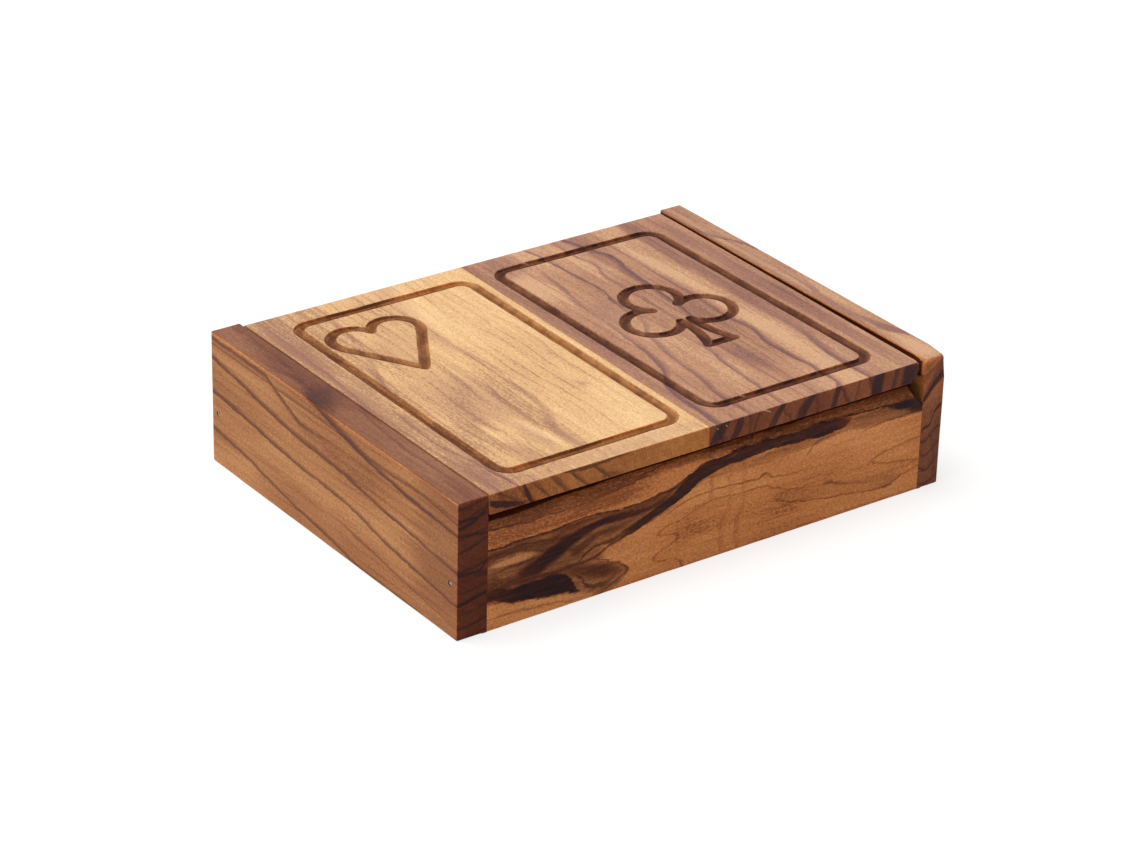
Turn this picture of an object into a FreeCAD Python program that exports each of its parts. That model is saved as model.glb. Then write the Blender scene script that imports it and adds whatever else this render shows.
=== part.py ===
import FreeCAD, Part
import math
import os

import Sketcher
from FreeCAD import Placement, Rotation, Vector

# A box of olive wood for two decks of playing cards. Two side walls run the full depth and
# hold a front wall, a back wall and a floor between them, and a divider parts the inside into
# two card wells. The lid is two boards glued edge to edge, let in flush between the side
# walls, and it turns on two blind pins near its back edge. Each board carries the routed
# outline of a playing card, one with a heart in it and the other with a club.
#
# Axes: +X to the right, +Y to the back, +Z up. The origin is under the middle of the box, on
# the surface that it stands on. Every size is in millimetres.

# --------------------------------------------------------------------------------------
# Driving dimensions: the word that the sheet knows the size by, its value, its meaning
# --------------------------------------------------------------------------------------
DIMENSIONS = [
    ("box_length", 160.0, "outside, left to right"),
    ("box_depth", 120.0, "outside, front to back"),
    ("box_height", 39.5, "outside, lid included"),
    ("left_wall_thickness", 9.2, "left side wall"),
    ("right_wall_thickness", 7.4, "right side wall"),
    ("front_wall_thickness", 6.6, "front wall"),
    ("back_wall_thickness", 6.6, "back wall"),
    ("arris_radius", 0.5, "rounding of the outer edges of the side walls"),
    ("lid_thickness", 5.9, "both lid boards"),
    ("lid_gap_left", 0.4, "clearance beside the left wall"),
    ("lid_gap_right", 2.2, "clearance beside the right wall, at the front"),
    ("lid_edge_skew", 0.9, "how much nearer the right edge comes to its wall at the back"),
    ("lid_edge_radius", 1.1, "rounding under the right edge of the lid"),
    ("seam_from_left", 79.0, "left face of the box to the lid's seam, at the front"),
    ("seam_skew", 1.9, "how far the seam drifts to the right at the back"),
    ("lid_open_angle", 105.0, "opening at which the lid leans on the back wall"),
    ("heel_clearance", 0.2, "between the lid's heel and the back wall"),
    ("finger_bevel_height", 3.8, "bevel under the lid's front edge"),
    ("finger_bevel_depth", 4.4, "the same bevel, front to back"),
    ("rebate_depth", 3.4, "rebate for the floor, into each wall"),
    ("rebate_height", 4.0, "the same rebate, upwards"),
    ("floor_thickness", 3.7, "floor board"),
    ("floor_clearance", 0.1, "round the floor board in its rebate"),
    ("divider_thickness", 5.0, "divider between the card wells"),
    ("divider_drop", 3.0, "top of the divider below the closed lid"),
    ("divider_groove_depth", 2.0, "grooves in the front and back walls"),
    ("divider_clearance", 0.1, "round the divider in its grooves"),
    ("scoop_radius", 34.0, "finger scoop in the divider's top edge"),
    ("scoop_depth", 11.0, "the same scoop, at its middle"),
    ("scoop_lip_radius", 4.0, "rounding where the scoop meets the top edge"),
    ("pin_radius", 1.0, "hinge pins"),
    ("pin_in_wall", 4.5, "length of a pin inside its side wall"),
    ("pin_in_lid", 10.0, "length of a pin inside the lid"),
    ("pin_end_clearance", 0.4, "left over at the bottom of each pin's bore"),
    ("pin_running_clearance", 0.05, "round the pin in the wall, on the radius"),
    ("pin_seat_clearance", 0.02, "round the pin in the lid, on the radius"),
    ("pin_chamfer", 0.25, "both ends of a pin"),
    ("brad_radius", 0.5, "shank of the corner brads"),
    ("brad_head_radius", 0.8, "head of the corner brads"),
    ("brad_head_thickness", 0.4, "the same head"),
    ("brad_set_depth", 0.2, "how far the head is punched below the surface"),
    ("brad_length", 20.0, "under the head, point included"),
    ("brad_point_length", 1.5, "tapered point"),
    ("brad_tip_radius", 0.1, "blunt end of the point"),
    ("brad_clearance", 0.02, "round the brad, on the radius"),
    ("brad_height", 15.5, "brads above the underside of the box"),
    ("cutter_radius", 1.6, "round-nosed cutter that routs the lid"),
    ("groove_depth", 1.2, "every routed groove"),
    ("card_corner_radius", 4.8, "corners of both card outlines"),
    ("heart_card_left_margin", 9.7, "lid's left edge to the outline"),
    ("heart_card_seam_margin", 2.9, "outline to the seam, at the front"),
    ("heart_card_front_margin", 8.0, "lid's front edge to the outline"),
    ("heart_card_back_margin", 10.5, "outline to the lid's back edge"),
    ("club_card_seam_margin", 6.85, "seam, at the front, to the outline"),
    ("club_card_right_margin", 9.15, "outline to the lid's right edge, at the front"),
    ("club_card_front_margin", 9.0, "lid's front edge to the outline"),
    ("club_card_back_margin", 10.9, "outline to the lid's back edge"),
    ("heart_lobe_radius", 6.9, "round lobes of the heart"),
    ("heart_notch_angle", 20.0, "where the lobes meet, above the line of their centres"),
    ("heart_tip_drop", 24.1, "lobe centres down to the tip"),
    ("heart_left_margin", 3.9, "card outline to the heart's left side"),
    ("heart_back_margin", 8.7, "card outline to the top of the heart"),
    ("club_lobe_radius", 7.9, "the three leaves of the club"),
    ("club_leaf_angle", 34.4, "from straight down to the line between two leaf centres"),
    ("club_spur_length", 0.4, "how far the cutter runs on where two leaves touch"),
    ("club_stem_angle", 24.0, "where a side leaf ends at the stem, below its centre"),
    ("club_drop", 0.25, "the side leaves' centres below the middle of the card"),
    ("club_base_half_width", 4.4, "foot of the stem"),
    ("club_base_drop", 19.1, "side leaf centres down to the foot"),
    ("club_stem_curve", 32.0, "radius of the stem's hollow sides"),
]

PARTS_FOLDER = "parts"
FULL_TURN = 360
# Lengths that differ by less, in millimetres, are the same.
TOLERANCE = 1e-6
# A groove that takes away less, in cubic millimetres, has failed.
LEAST_CUT = 1


# --------------------------------------------------------------------------------------
# Sizes: a number that remembers the sheet expression behind it
# --------------------------------------------------------------------------------------
class Size:
    """A value in millimetres or degrees, with the sheet expression that gives it."""

    def __init__(self, text, value):
        self.text = text
        self.value = float(value)

    def __add__(self, other):
        other = size(other)
        return Size(f"({self.text} + {other.text})", self.value + other.value)

    def __sub__(self, other):
        other = size(other)
        return Size(f"({self.text} - {other.text})", self.value - other.value)

    def __mul__(self, other):
        other = size(other)
        return Size(f"({self.text} * {other.text})", self.value * other.value)

    def __truediv__(self, other):
        other = size(other)
        return Size(f"({self.text} / {other.text})", self.value / other.value)

    def __neg__(self):
        return Size(f"(0 - {self.text})", -self.value)


def size(value):
    """Any plain number as a Size; a Size stays as it is."""
    return value if isinstance(value, Size) else Size(repr(float(value)), value)


def sine(angle):
    return Size(f"sin({angle.text})", math.sin(math.radians(angle.value)))


def cosine(angle):
    return Size(f"cos({angle.text})", math.cos(math.radians(angle.value)))


def tangent(angle):
    return Size(f"tan({angle.text})", math.tan(math.radians(angle.value)))


NONE = size(0)
# The round-nosed cutter is drawn with eight flats. Half of a flat spans this angle.
HALF_FLAT_ANGLE = size(22.5)

doc = FreeCAD.newDocument("card_box")
sheet = doc.addObject("Spreadsheet::Sheet", "Sizes")
for row, (alias, value, meaning) in enumerate(DIMENSIONS, start=1):
    sheet.set(f"A{row}", meaning)
    sheet.set(f"B{row}", str(value))
    sheet.setAlias(f"B{row}", alias)
doc.recompute()


def cell(alias):
    """The Size that a cell of the sheet holds."""
    return Size(f"Sizes.{alias}", sheet.get(alias))


# Places that several pieces share, each worked out once. The places marked "from the left"
# and "from the front" are measured from the outer faces of the box.
box_length = cell("box_length")
box_depth = cell("box_depth")
box_height = cell("box_height")
left_wall = cell("left_wall_thickness")
right_wall = cell("right_wall_thickness")
front_wall = cell("front_wall_thickness")
back_wall = cell("back_wall_thickness")
lid_thickness = cell("lid_thickness")
rebate_depth = cell("rebate_depth")
rebate_height = cell("rebate_height")
pin_radius = cell("pin_radius")
brad_height = cell("brad_height")
cutter_radius = cell("cutter_radius")

rim_height = box_height - lid_thickness
back_rim_height = rim_height - cell("heel_clearance")
inner_length = box_length - left_wall - right_wall
inner_depth = box_depth - front_wall - back_wall
lid_left = left_wall + cell("lid_gap_left")
lid_right_front = box_length - right_wall - cell("lid_gap_right")
lid_right_back = lid_right_front + cell("lid_edge_skew")
seam_front = cell("seam_from_left")
seam_back = seam_front + cell("seam_skew")

# The pins lie half the lid's thickness in from its back edge and from its underside, so the
# lid's rounded heel turns about them inside its own outline.
hinge_inset = lid_thickness / 2
hinge_from_front = box_depth - hinge_inset
hinge_height = rim_height + hinge_inset

wall_bore_radius = pin_radius + cell("pin_running_clearance")
wall_bore_depth = cell("pin_in_wall") + cell("pin_end_clearance")
lid_bore_radius = pin_radius + cell("pin_seat_clearance")
lid_bore_depth = cell("pin_in_lid") + cell("pin_end_clearance")

brad_bore_radius = cell("brad_radius") + cell("brad_clearance")
brad_seat_radius = cell("brad_head_radius") + cell("brad_clearance")
brad_seat_depth = cell("brad_set_depth") + cell("brad_head_thickness")
brad_reach = brad_seat_depth + cell("brad_length") + cell("brad_clearance")
brads_from_front = (front_wall / 2, box_depth - back_wall / 2)

# The middle of the cutter's nose rides this high above the lid's top face.
cutter_lift = cutter_radius - cell("groove_depth")
cutter_half_flat = cutter_radius * tangent(HALF_FLAT_ANGLE)


# --------------------------------------------------------------------------------------
# Small helpers for bodies, sketches and features
# --------------------------------------------------------------------------------------
def bind(thing, path, amount):
    """Tie a property to its sheet expression."""
    thing.setExpression(path, size(amount).text)


def new_body(label, left, front, bottom):
    """A body whose own origin lies at the given place, measured from the box's left front
    corner."""
    body = doc.addObject("PartDesign::Body", label)
    body.Label = label
    bind(body, "Placement.Base.x", left - box_length / 2)
    bind(body, "Placement.Base.y", front - box_depth / 2)
    bind(body, "Placement.Base.z", bottom)
    return body


def origin_plane(body, role):
    """One of a body's own origin planes."""
    for feature in body.Origin.OriginFeatures:
        if feature.Role == role:
            return feature
    raise ValueError(f"{body.Label} has no plane {role}")


def new_sketch(body, name, role, at=(0, 0, 0)):
    """A sketch on an origin plane, with its own origin moved to a place in that plane's
    axes."""
    sketch = body.newObject("Sketcher::SketchObject", name)
    sketch.AttachmentSupport = [(origin_plane(body, role), "")]
    sketch.MapMode = "FlatFace"
    sketch.AttachmentOffset = Placement(Vector(*(size(amount).value for amount in at)), Rotation())
    for axis, amount in zip("xyz", at):
        if isinstance(amount, Size):
            bind(sketch, f"AttachmentOffset.Base.{axis}", amount)
    return sketch


def pin_point(sketch, geometry, end, place):
    """Hold one end or centre of a sketch line or arc at a bound place."""
    for kind, amount in zip(("DistanceX", "DistanceY"), place):
        value = size(amount).value
        number = sketch.addConstraint(Sketcher.Constraint(kind, -1, 1, geometry, end, value))
        bind(sketch, f"Constraints[{number}]", amount)


def bind_radius(sketch, geometry, radius):
    number = sketch.addConstraint(Sketcher.Constraint("Radius", geometry, radius.value))
    bind(sketch, f"Constraints[{number}]", radius)


def flat_vector(place):
    return Vector(size(place[0]).value, size(place[1]).value, 0)


def add_line(sketch, start, end):
    return sketch.addGeometry(Part.LineSegment(flat_vector(start), flat_vector(end)), False)


def add_arc(sketch, centre, radius, first_angle, last_angle):
    """An arc that runs anticlockwise between two angles in radians."""
    circle = Part.Circle(flat_vector(centre), Vector(0, 0, 1), size(radius).value)
    return sketch.addGeometry(Part.ArcOfCircle(circle, first_angle, last_angle), False)


def add_bound_arc(sketch, centre, radius, start, end):
    """An arc that runs anticlockwise between two bound ends, with a bound radius."""
    middle = flat_vector(centre)
    first_angle, last_angle = (
        math.atan2(arm.y, arm.x) for arm in (flat_vector(start) - middle, flat_vector(end) - middle)
    )
    if last_angle < first_angle:
        last_angle += 2 * math.pi
    arc = add_arc(sketch, centre, radius, first_angle, last_angle)
    pin_point(sketch, arc, 1, start)
    pin_point(sketch, arc, 2, end)
    bind_radius(sketch, arc, radius)
    return arc


def draw_polygon(sketch, corners):
    """A closed outline with every corner bound."""
    count = len(corners)
    first = sketch.GeometryCount
    for index, corner in enumerate(corners):
        add_line(sketch, corner, corners[(index + 1) % count])
    for index, corner in enumerate(corners):
        following = first + (index + 1) % count
        sketch.addConstraint(Sketcher.Constraint("Coincident", first + index, 2, following, 1))
        pin_point(sketch, first + index, 1, corner)


def draw_rectangle(sketch, left, bottom, right, top):
    draw_polygon(sketch, [(left, bottom), (right, bottom), (right, top), (left, top)])


def draw_circle(sketch, centre, radius):
    circle = Part.Circle(flat_vector(centre), Vector(0, 0, 1), radius.value)
    geometry = sketch.addGeometry(circle, False)
    pin_point(sketch, geometry, 3, centre)
    bind_radius(sketch, geometry, radius)


def pad(body, sketch, length):
    """Extrude a sketch along its normal."""
    feature = body.newObject("PartDesign::Pad", f"{sketch.Name}_pad")
    feature.Profile = sketch
    bind(feature, "Length", length)
    sketch.Visibility = False
    doc.recompute()
    return feature


def pocket(body, sketch, depth, along_normal=False):
    """Cut a sketch into the body, against its normal unless along_normal is set."""
    before = body.Shape.Volume
    feature = body.newObject("PartDesign::Pocket", f"{sketch.Name}_pocket")
    feature.Profile = sketch
    bind(feature, "Length", depth)
    feature.Reversed = along_normal
    sketch.Visibility = False
    doc.recompute()
    if not body.Shape.Volume < before:
        raise RuntimeError(f"{feature.Name} removes nothing")
    return feature


def edges_where(shape, test):
    """Names of the edges that pass a test, for a fillet or a chamfer."""
    return [f"Edge{number}" for number, edge in enumerate(shape.Edges, start=1) if test(edge)]


def dress(body, kind, name, amount_property, amount, test):
    """Round or bevel the edges of the body's tip that pass a test."""
    tip = body.Tip
    edges = edges_where(tip.Shape, test)
    if not edges:
        raise RuntimeError(f"{name} finds no edge")
    feature = body.newObject(kind, name)
    feature.Base = (tip, edges)
    bind(feature, amount_property, amount)
    doc.recompute()
    return feature


def round_edges(body, name, radius, test):
    return dress(body, "PartDesign::Fillet", name, "Radius", radius, test)


def bevel_edges(body, name, width, test):
    return dress(body, "PartDesign::Chamfer", name, "Size", width, test)


def same(first, second):
    """Whether two coordinates agree."""
    return abs(first - size(second).value) < TOLERANCE


def lies_on(edge, **planes):
    """Whether a whole edge lies on planes such as x=0 in the body's own frame."""
    box = edge.BoundBox
    limits = {"x": (box.XMin, box.XMax), "y": (box.YMin, box.YMax), "z": (box.ZMin, box.ZMax)}
    return all(same(low, planes[axis]) and same(high, planes[axis])
               for axis, (low, high) in limits.items() if axis in planes)


# --------------------------------------------------------------------------------------
# The case: four walls, floor, divider and brads
# --------------------------------------------------------------------------------------
def make_side_wall(label, left, thickness, inner_face, outer_face):
    """A side wall over the full depth, with a stopped rebate for the floor, a blind bore for
    its hinge pin and a seated hole for each of its two brads.

    inner_face and outer_face are the places of those faces across the wall's own thickness.
    """
    body = new_body(label, left, NONE, NONE)
    inward = inner_face.value > outer_face.value

    outline = new_sketch(body, f"{label}_outline", "XY_Plane")
    draw_rectangle(outline, 0, 0, thickness, box_depth)
    pad(body, outline, box_height)

    round_edges(
        body, f"{label}_arrises", cell("arris_radius"),
        lambda edge: lies_on(edge, x=outer_face) or lies_on(edge, y=0, z=box_height)
        or lies_on(edge, y=box_depth, z=box_height),
    )

    rebate_side = inner_face - rebate_depth if inward else inner_face + rebate_depth
    rebate = new_sketch(body, f"{label}_rebate", "XY_Plane")
    sides = (rebate_side, inner_face) if inward else (inner_face, rebate_side)
    draw_rectangle(
        rebate, sides[0], front_wall - rebate_depth, sides[1],
        box_depth - back_wall + rebate_depth,
    )
    pocket(body, rebate, rebate_height, along_normal=True)

    bore = new_sketch(body, f"{label}_pin_bore", "YZ_Plane", (0, 0, inner_face))
    draw_circle(bore, (hinge_from_front, hinge_height), wall_bore_radius)
    pocket(body, bore, wall_bore_depth, along_normal=not inward)

    holes = new_sketch(body, f"{label}_brad_holes", "YZ_Plane", (0, 0, outer_face))
    seats = new_sketch(body, f"{label}_brad_seats", "YZ_Plane", (0, 0, outer_face))
    for from_front in brads_from_front:
        draw_circle(holes, (from_front, brad_height), brad_bore_radius)
        draw_circle(seats, (from_front, brad_height), brad_seat_radius)
    pocket(body, holes, thickness, along_normal=inward)
    pocket(body, seats, brad_seat_depth, along_normal=inward)
    return body


def make_end_wall(label, front, thickness, section, inner_face):
    """The front or back wall: its section drawn across it and padded between the side walls,
    with a groove for the divider and a hole for a brad in each end."""
    body = new_body(label, left_wall, front, NONE)
    outline = new_sketch(body, f"{label}_section", "YZ_Plane")
    draw_polygon(outline, section)
    pad(body, outline, inner_length)

    groove_bottom = (inner_face - cell("divider_groove_depth") if inner_face.value > 0
                     else cell("divider_groove_depth"))
    half_groove = cell("divider_thickness") / 2 + cell("divider_clearance")
    groove_sides = (groove_bottom, inner_face) if inner_face.value > 0 else (NONE, groove_bottom)
    groove = new_sketch(body, f"{label}_divider_groove", "XY_Plane", (0, 0, rebate_height))
    draw_rectangle(groove, inner_length / 2 - half_groove, groove_sides[0],
                   inner_length / 2 + half_groove, groove_sides[1])
    pocket(body, groove, box_height, along_normal=True)

    for side, at, wall, along_normal in (
        ("left", NONE, left_wall, True), ("right", inner_length, right_wall, False)
    ):
        hole = new_sketch(body, f"{label}_{side}_brad_hole", "YZ_Plane", (0, 0, at))
        draw_circle(hole, (thickness / 2, brad_height), brad_bore_radius)
        pocket(body, hole, brad_reach - wall, along_normal)
    return body


def make_front_wall():
    """The front wall, with the bevel that a fingertip uses to push the lid up."""
    bevel_foot = rim_height - cell("finger_bevel_height")
    section = [
        (0, 0), (front_wall - rebate_depth, 0), (front_wall - rebate_depth, rebate_height),
        (front_wall, rebate_height), (front_wall, rim_height),
        (cell("finger_bevel_depth"), rim_height), (0, bevel_foot),
    ]
    return make_end_wall("front_wall", NONE, front_wall, section, front_wall)


def make_back_wall():
    """The back wall, whose sloped top stops the open lid.

    The slope is square to the line from the pins to the lid's back edge when the lid is open,
    and as far from the pins as the heel's radius and its clearance.
    """
    reach = hinge_inset + cell("heel_clearance")
    lean = cell("lid_open_angle") - 90
    pins = back_wall - hinge_inset
    slope_start = pins - reach * (size(1) - cosine(lean)) / sine(lean)
    slope_end = hinge_height - (reach + sine(lean) * hinge_inset) / cosine(lean)
    section = [
        (0, rebate_height), (rebate_depth, rebate_height), (rebate_depth, 0), (back_wall, 0),
        (back_wall, slope_end), (slope_start, back_rim_height), (0, back_rim_height),
    ]
    return make_end_wall("back_wall", box_depth - back_wall, back_wall, section, NONE)


def make_floor():
    """The floor board, let up into the rebates of the four walls from below."""
    play = cell("floor_clearance")
    body = new_body("floor_board", left_wall - rebate_depth + play,
                    front_wall - rebate_depth + play, rebate_height - cell("floor_thickness"))
    outline = new_sketch(body, "floor_outline", "XY_Plane")
    spread = rebate_depth * 2 - play * 2
    draw_rectangle(outline, 0, 0, inner_length + spread, inner_depth + spread)
    pad(body, outline, cell("floor_thickness"))
    return body


def make_divider():
    """The divider between the card wells, scooped so that fingers reach the cards."""
    thickness = cell("divider_thickness")
    into_groove = cell("divider_groove_depth") - cell("divider_clearance")
    length = inner_depth + into_groove * 2
    height = rim_height - cell("divider_drop") - rebate_height
    body = new_body("divider", left_wall + inner_length / 2 - thickness / 2,
                    front_wall - into_groove, rebate_height)
    outline = new_sketch(body, "divider_outline", "YZ_Plane")
    draw_rectangle(outline, 0, 0, length, height)
    pad(body, outline, thickness)

    scoop = new_sketch(body, "divider_scoop", "YZ_Plane")
    scoop_centre = height + cell("scoop_radius") - cell("scoop_depth")
    draw_circle(scoop, (length / 2, scoop_centre), cell("scoop_radius"))
    pocket(body, scoop, thickness, along_normal=True)

    round_edges(
        body, "scoop_lips", cell("scoop_lip_radius"),
        lambda edge: lies_on(edge, z=height) and edge.Length < thickness.value + TOLERANCE
        and 0 < edge.CenterOfMass.y < length.value
        and not (lies_on(edge, y=0) or lies_on(edge, y=length)),
    )
    return body


def make_brad(name, at_left, from_front):
    """One brad: a flat head, a plain shank and a tapered point, driven towards the box's
    middle from the left or the right face."""
    turn = Rotation(Vector(0, 1, 0), 90 if at_left else -90)
    head_top = cell("brad_set_depth")
    shank_length = cell("brad_length") - cell("brad_point_length")
    stretches = (
        ("head", "Part::Cylinder", cell("brad_head_radius"), head_top,
         cell("brad_head_thickness")),
        ("shank", "Part::Cylinder", cell("brad_radius"), brad_seat_depth, shank_length),
        ("point", "Part::Cone", cell("brad_radius"), brad_seat_depth + shank_length,
         cell("brad_point_length")),
    )
    pieces = []
    for stretch, kind, radius, start, length in stretches:
        piece = doc.addObject(kind, f"{name}_{stretch}")
        if kind == "Part::Cone":
            bind(piece, "Radius1", radius)
            bind(piece, "Radius2", cell("brad_tip_radius"))
        else:
            bind(piece, "Radius", radius)
        bind(piece, "Height", length)
        piece.Placement = Placement(Vector(), turn)
        from_middle = box_length / 2 - start
        bind(piece, "Placement.Base.x", -from_middle if at_left else from_middle)
        bind(piece, "Placement.Base.y", from_front - box_depth / 2)
        bind(piece, "Placement.Base.z", brad_height)
        pieces.append(piece)
    brad = doc.addObject("Part::MultiFuse", name)
    brad.Shapes = pieces
    return brad


def make_corner_brads():
    """The four brads that pin the side walls to the ends of the front and back walls."""
    brads = doc.addObject("Part::Compound", "corner_brads")
    brads.Label = "corner_brads"
    brads.Links = [
        make_brad(f"brad_{side}_{end}", side == "left", from_front)
        for side in ("left", "right")
        for end, from_front in zip(("front", "back"), brads_from_front)
    ]
    return brads


# --------------------------------------------------------------------------------------
# The lid: two boards with routed outlines, and its hinge pins
# --------------------------------------------------------------------------------------
def rout(body, path, edges, name):
    """Draw the round-nosed cutter along some edges of a path sketch."""
    before = body.Shape.Volume
    profile = body.newObject("Sketcher::SketchObject", f"{name}_cutter")
    profile.AttachmentSupport = [(path, edges[0])]
    profile.MapMode = "NormalToEdge"
    reach, flat = cutter_radius, cutter_half_flat
    draw_polygon(profile, [(reach, flat), (flat, reach), (-flat, reach), (-reach, flat),
                           (-reach, -flat), (-flat, -reach), (flat, -reach), (reach, -flat)])
    groove = body.newObject("PartDesign::SubtractivePipe", f"{name}_groove")
    groove.Profile = profile
    groove.Spine = (path, edges)
    profile.Visibility = False
    path.Visibility = False
    doc.recompute()
    if not body.Shape.Volume < before - LEAST_CUT:
        raise RuntimeError(f"{name} removes nothing")
    return groove


def plunge(body, name, left, front):
    """Sink the cutter's nose where a groove turns sharply or ends."""
    before = body.Shape.Volume
    middle = lid_thickness + cutter_lift
    nose = new_sketch(body, f"{name}_nose", "XZ_Plane", (left, middle, -front))
    draw_polygon(nose, [(0, -cutter_radius), (cutter_half_flat, -cutter_radius),
                        (cutter_radius, -cutter_half_flat), (cutter_radius, 0), (0, 0)])
    dimple = body.newObject("PartDesign::Groove", f"{name}_dimple")
    dimple.Profile = nose
    dimple.ReferenceAxis = (nose, ["V_Axis"])
    dimple.Angle = FULL_TURN
    nose.Visibility = False
    doc.recompute()
    if not body.Shape.Volume < before:
        raise RuntimeError(f"{name} removes nothing")
    return dimple


def path_sketch(body, name, left, front):
    """A sketch for a cutter's path, at the height of the middle of its nose."""
    return new_sketch(body, name, "XY_Plane", (left, front, lid_thickness + cutter_lift))


def rout_card(body, name, left, front, right, back):
    """The outline of a playing card: a rectangle with round corners."""
    path = path_sketch(body, f"{name}_path", NONE, NONE)
    radius = cell("card_corner_radius")
    quarter = math.pi / 2
    # Anticlockwise from the start of the front side: each side, then the corner at its end.
    sides = (
        ((left + radius, front), (right - radius, front), (right - radius, front + radius), 3),
        ((right, front + radius), (right, back - radius), (right - radius, back - radius), 0),
        ((right - radius, back), (left + radius, back), (left + radius, back - radius), 1),
        ((left, back - radius), (left, front + radius), (left + radius, front + radius), 2),
    )
    for start, end, centre, quarters in sides:
        side = add_line(path, start, end)
        corner = add_arc(path, centre, radius, quarters * quarter, (quarters + 1) * quarter)
        pin_point(path, side, 1, start)
        pin_point(path, side, 2, end)
        path.addConstraint(Sketcher.Constraint("Coincident", side, 2, corner, 1))
        bind_radius(path, corner, radius)
    last = path.GeometryCount
    for corner in range(1, last, 2):
        path.addConstraint(Sketcher.Constraint("Coincident", corner, 2, (corner + 1) % last, 1))
    doc.recompute()
    rout(body, path, [f"Edge{number}" for number in range(1, last + 1)], name)


def mirror(body, name, path, features):
    """Repeat routed features on the other side of a path sketch's own upright axis."""
    copy = body.newObject("PartDesign::Mirrored", name)
    copy.Originals = features
    copy.MirrorPlane = (path, ["V_Axis"])
    body.Tip = copy
    doc.recompute()
    return copy


def rout_heart(body, outline_left, outline_back):
    """A heart: a round lobe and a straight side down to the tip, mirrored."""
    radius = cell("heart_lobe_radius")
    notch_angle = cell("heart_notch_angle")
    half_spacing = radius * cosine(notch_angle)
    notch = radius * sine(notch_angle)
    drop = cell("heart_tip_drop")
    middle = outline_left + cell("heart_left_margin") + radius + half_spacing
    lobes = outline_back - cell("heart_back_margin") - radius
    path = path_sketch(body, "heart_path", middle, lobes)

    # The side touches the lobe, seen from the tip, this far round from the line to its centre.
    reach = math.hypot(half_spacing.value, drop.value)
    to_tip = math.atan2(-drop.value, half_spacing.value)
    touch = to_tip - math.acos(radius.value / reach)
    touch_point = (radius.value * math.cos(touch) - half_spacing.value,
                   radius.value * math.sin(touch))
    lobe = add_arc(path, (-half_spacing, 0), radius, math.radians(notch_angle.value),
                   touch + 2 * math.pi)
    flank = add_line(path, touch_point, (0, -drop))
    pin_point(path, lobe, 3, (-half_spacing, 0))
    pin_point(path, lobe, 1, (0, notch))
    pin_point(path, flank, 2, (0, -drop))
    path.addConstraint(Sketcher.Constraint("Tangent", lobe, 2, flank, 1))
    doc.recompute()

    half = rout(body, path, ["Edge1", "Edge2"], "heart")
    tip = plunge(body, "heart_tip", middle, lobes - drop)
    mirror(body, "heart_other_half", path, [half, tip])


def rout_club_half(body, name, side, middle, side_leaves):
    """Half of a club: half the top leaf, a side leaf, a hollow side of the stem and half its
    foot. side is -1 for the left half and 1 for the right one."""
    radius = cell("club_lobe_radius")
    leaf_angle = cell("club_leaf_angle")
    stem_angle = cell("club_stem_angle")
    spur = cell("club_spur_length")
    curve = cell("club_stem_curve")
    across = radius * 2 * sine(leaf_angle)
    rise = radius * 2 * cosine(leaf_angle)
    foot = -cell("club_base_drop")

    top = (NONE, rise + radius)
    touch = (across / 2 * side, rise / 2)
    leaf_side = ((across + radius) * side, NONE)
    stem_top = ((across - radius * cosine(stem_angle)) * side, -radius * sine(stem_angle))
    foot_corner = (cell("club_base_half_width") * side, foot)
    spur_end = (touch[0] - spur * cosine(leaf_angle) * side, touch[1] - spur * sine(leaf_angle))

    # The centre of the stem's hollow side lies outside the stem.
    chord = flat_vector(foot_corner) - flat_vector(stem_top)
    outward = Vector(-chord.y, chord.x, 0).normalize() * side
    height = math.sqrt(curve.value ** 2 - (chord.Length / 2) ** 2)
    hollow = flat_vector(stem_top) + chord * 0.5 + outward * height

    path = path_sketch(body, f"club_{name}_path", middle, side_leaves)
    for centre, arc_radius, start, end in (
        ((0, rise), radius, top, touch),
        ((across * side, 0), radius, touch, leaf_side),
        ((across * side, 0), radius, leaf_side, stem_top),
        ((hollow.x, hollow.y), curve, foot_corner, stem_top),
    ):
        ends = (start, end) if side < 0 else (end, start)
        add_bound_arc(path, centre, arc_radius, *ends)
    foot_line = add_line(path, foot_corner, (0, foot))
    pin_point(path, foot_line, 1, foot_corner)
    pin_point(path, foot_line, 2, (0, foot))
    doc.recompute()

    # The path's edges are numbered the way that its arcs run, from the top on the left half
    # and from the foot on the right one.
    stretches = ("top_leaf", "leaf_above", "leaf_below", "stem", "foot")
    for number, stretch in enumerate(stretches[::-side], start=1):
        rout(body, path, [f"Edge{number}"], f"club_{name}_{stretch}")
    for corner, place in (("spur", spur_end), ("stem_top", stem_top), ("foot_corner", foot_corner)):
        plunge(body, f"club_{name}_{corner}", middle + place[0], side_leaves + place[1])


def rout_club(body, outline_left, outline_right, outline_front, outline_back):
    """A club: three touching leaves on a stem with hollow sides and a flat foot."""
    middle = (outline_left + outline_right) / 2
    side_leaves = (outline_front + outline_back) / 2 - cell("club_drop")
    rout_club_half(body, "left", -1, middle, side_leaves)
    rout_club_half(body, "right", 1, middle, side_leaves)


def round_heel(body):
    """Round the lower back edge of a lid board about the hinge pins."""
    round_edges(body, f"{body.Label}_heel", hinge_inset,
                lambda edge: lies_on(edge, y=box_depth, z=0))


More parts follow.
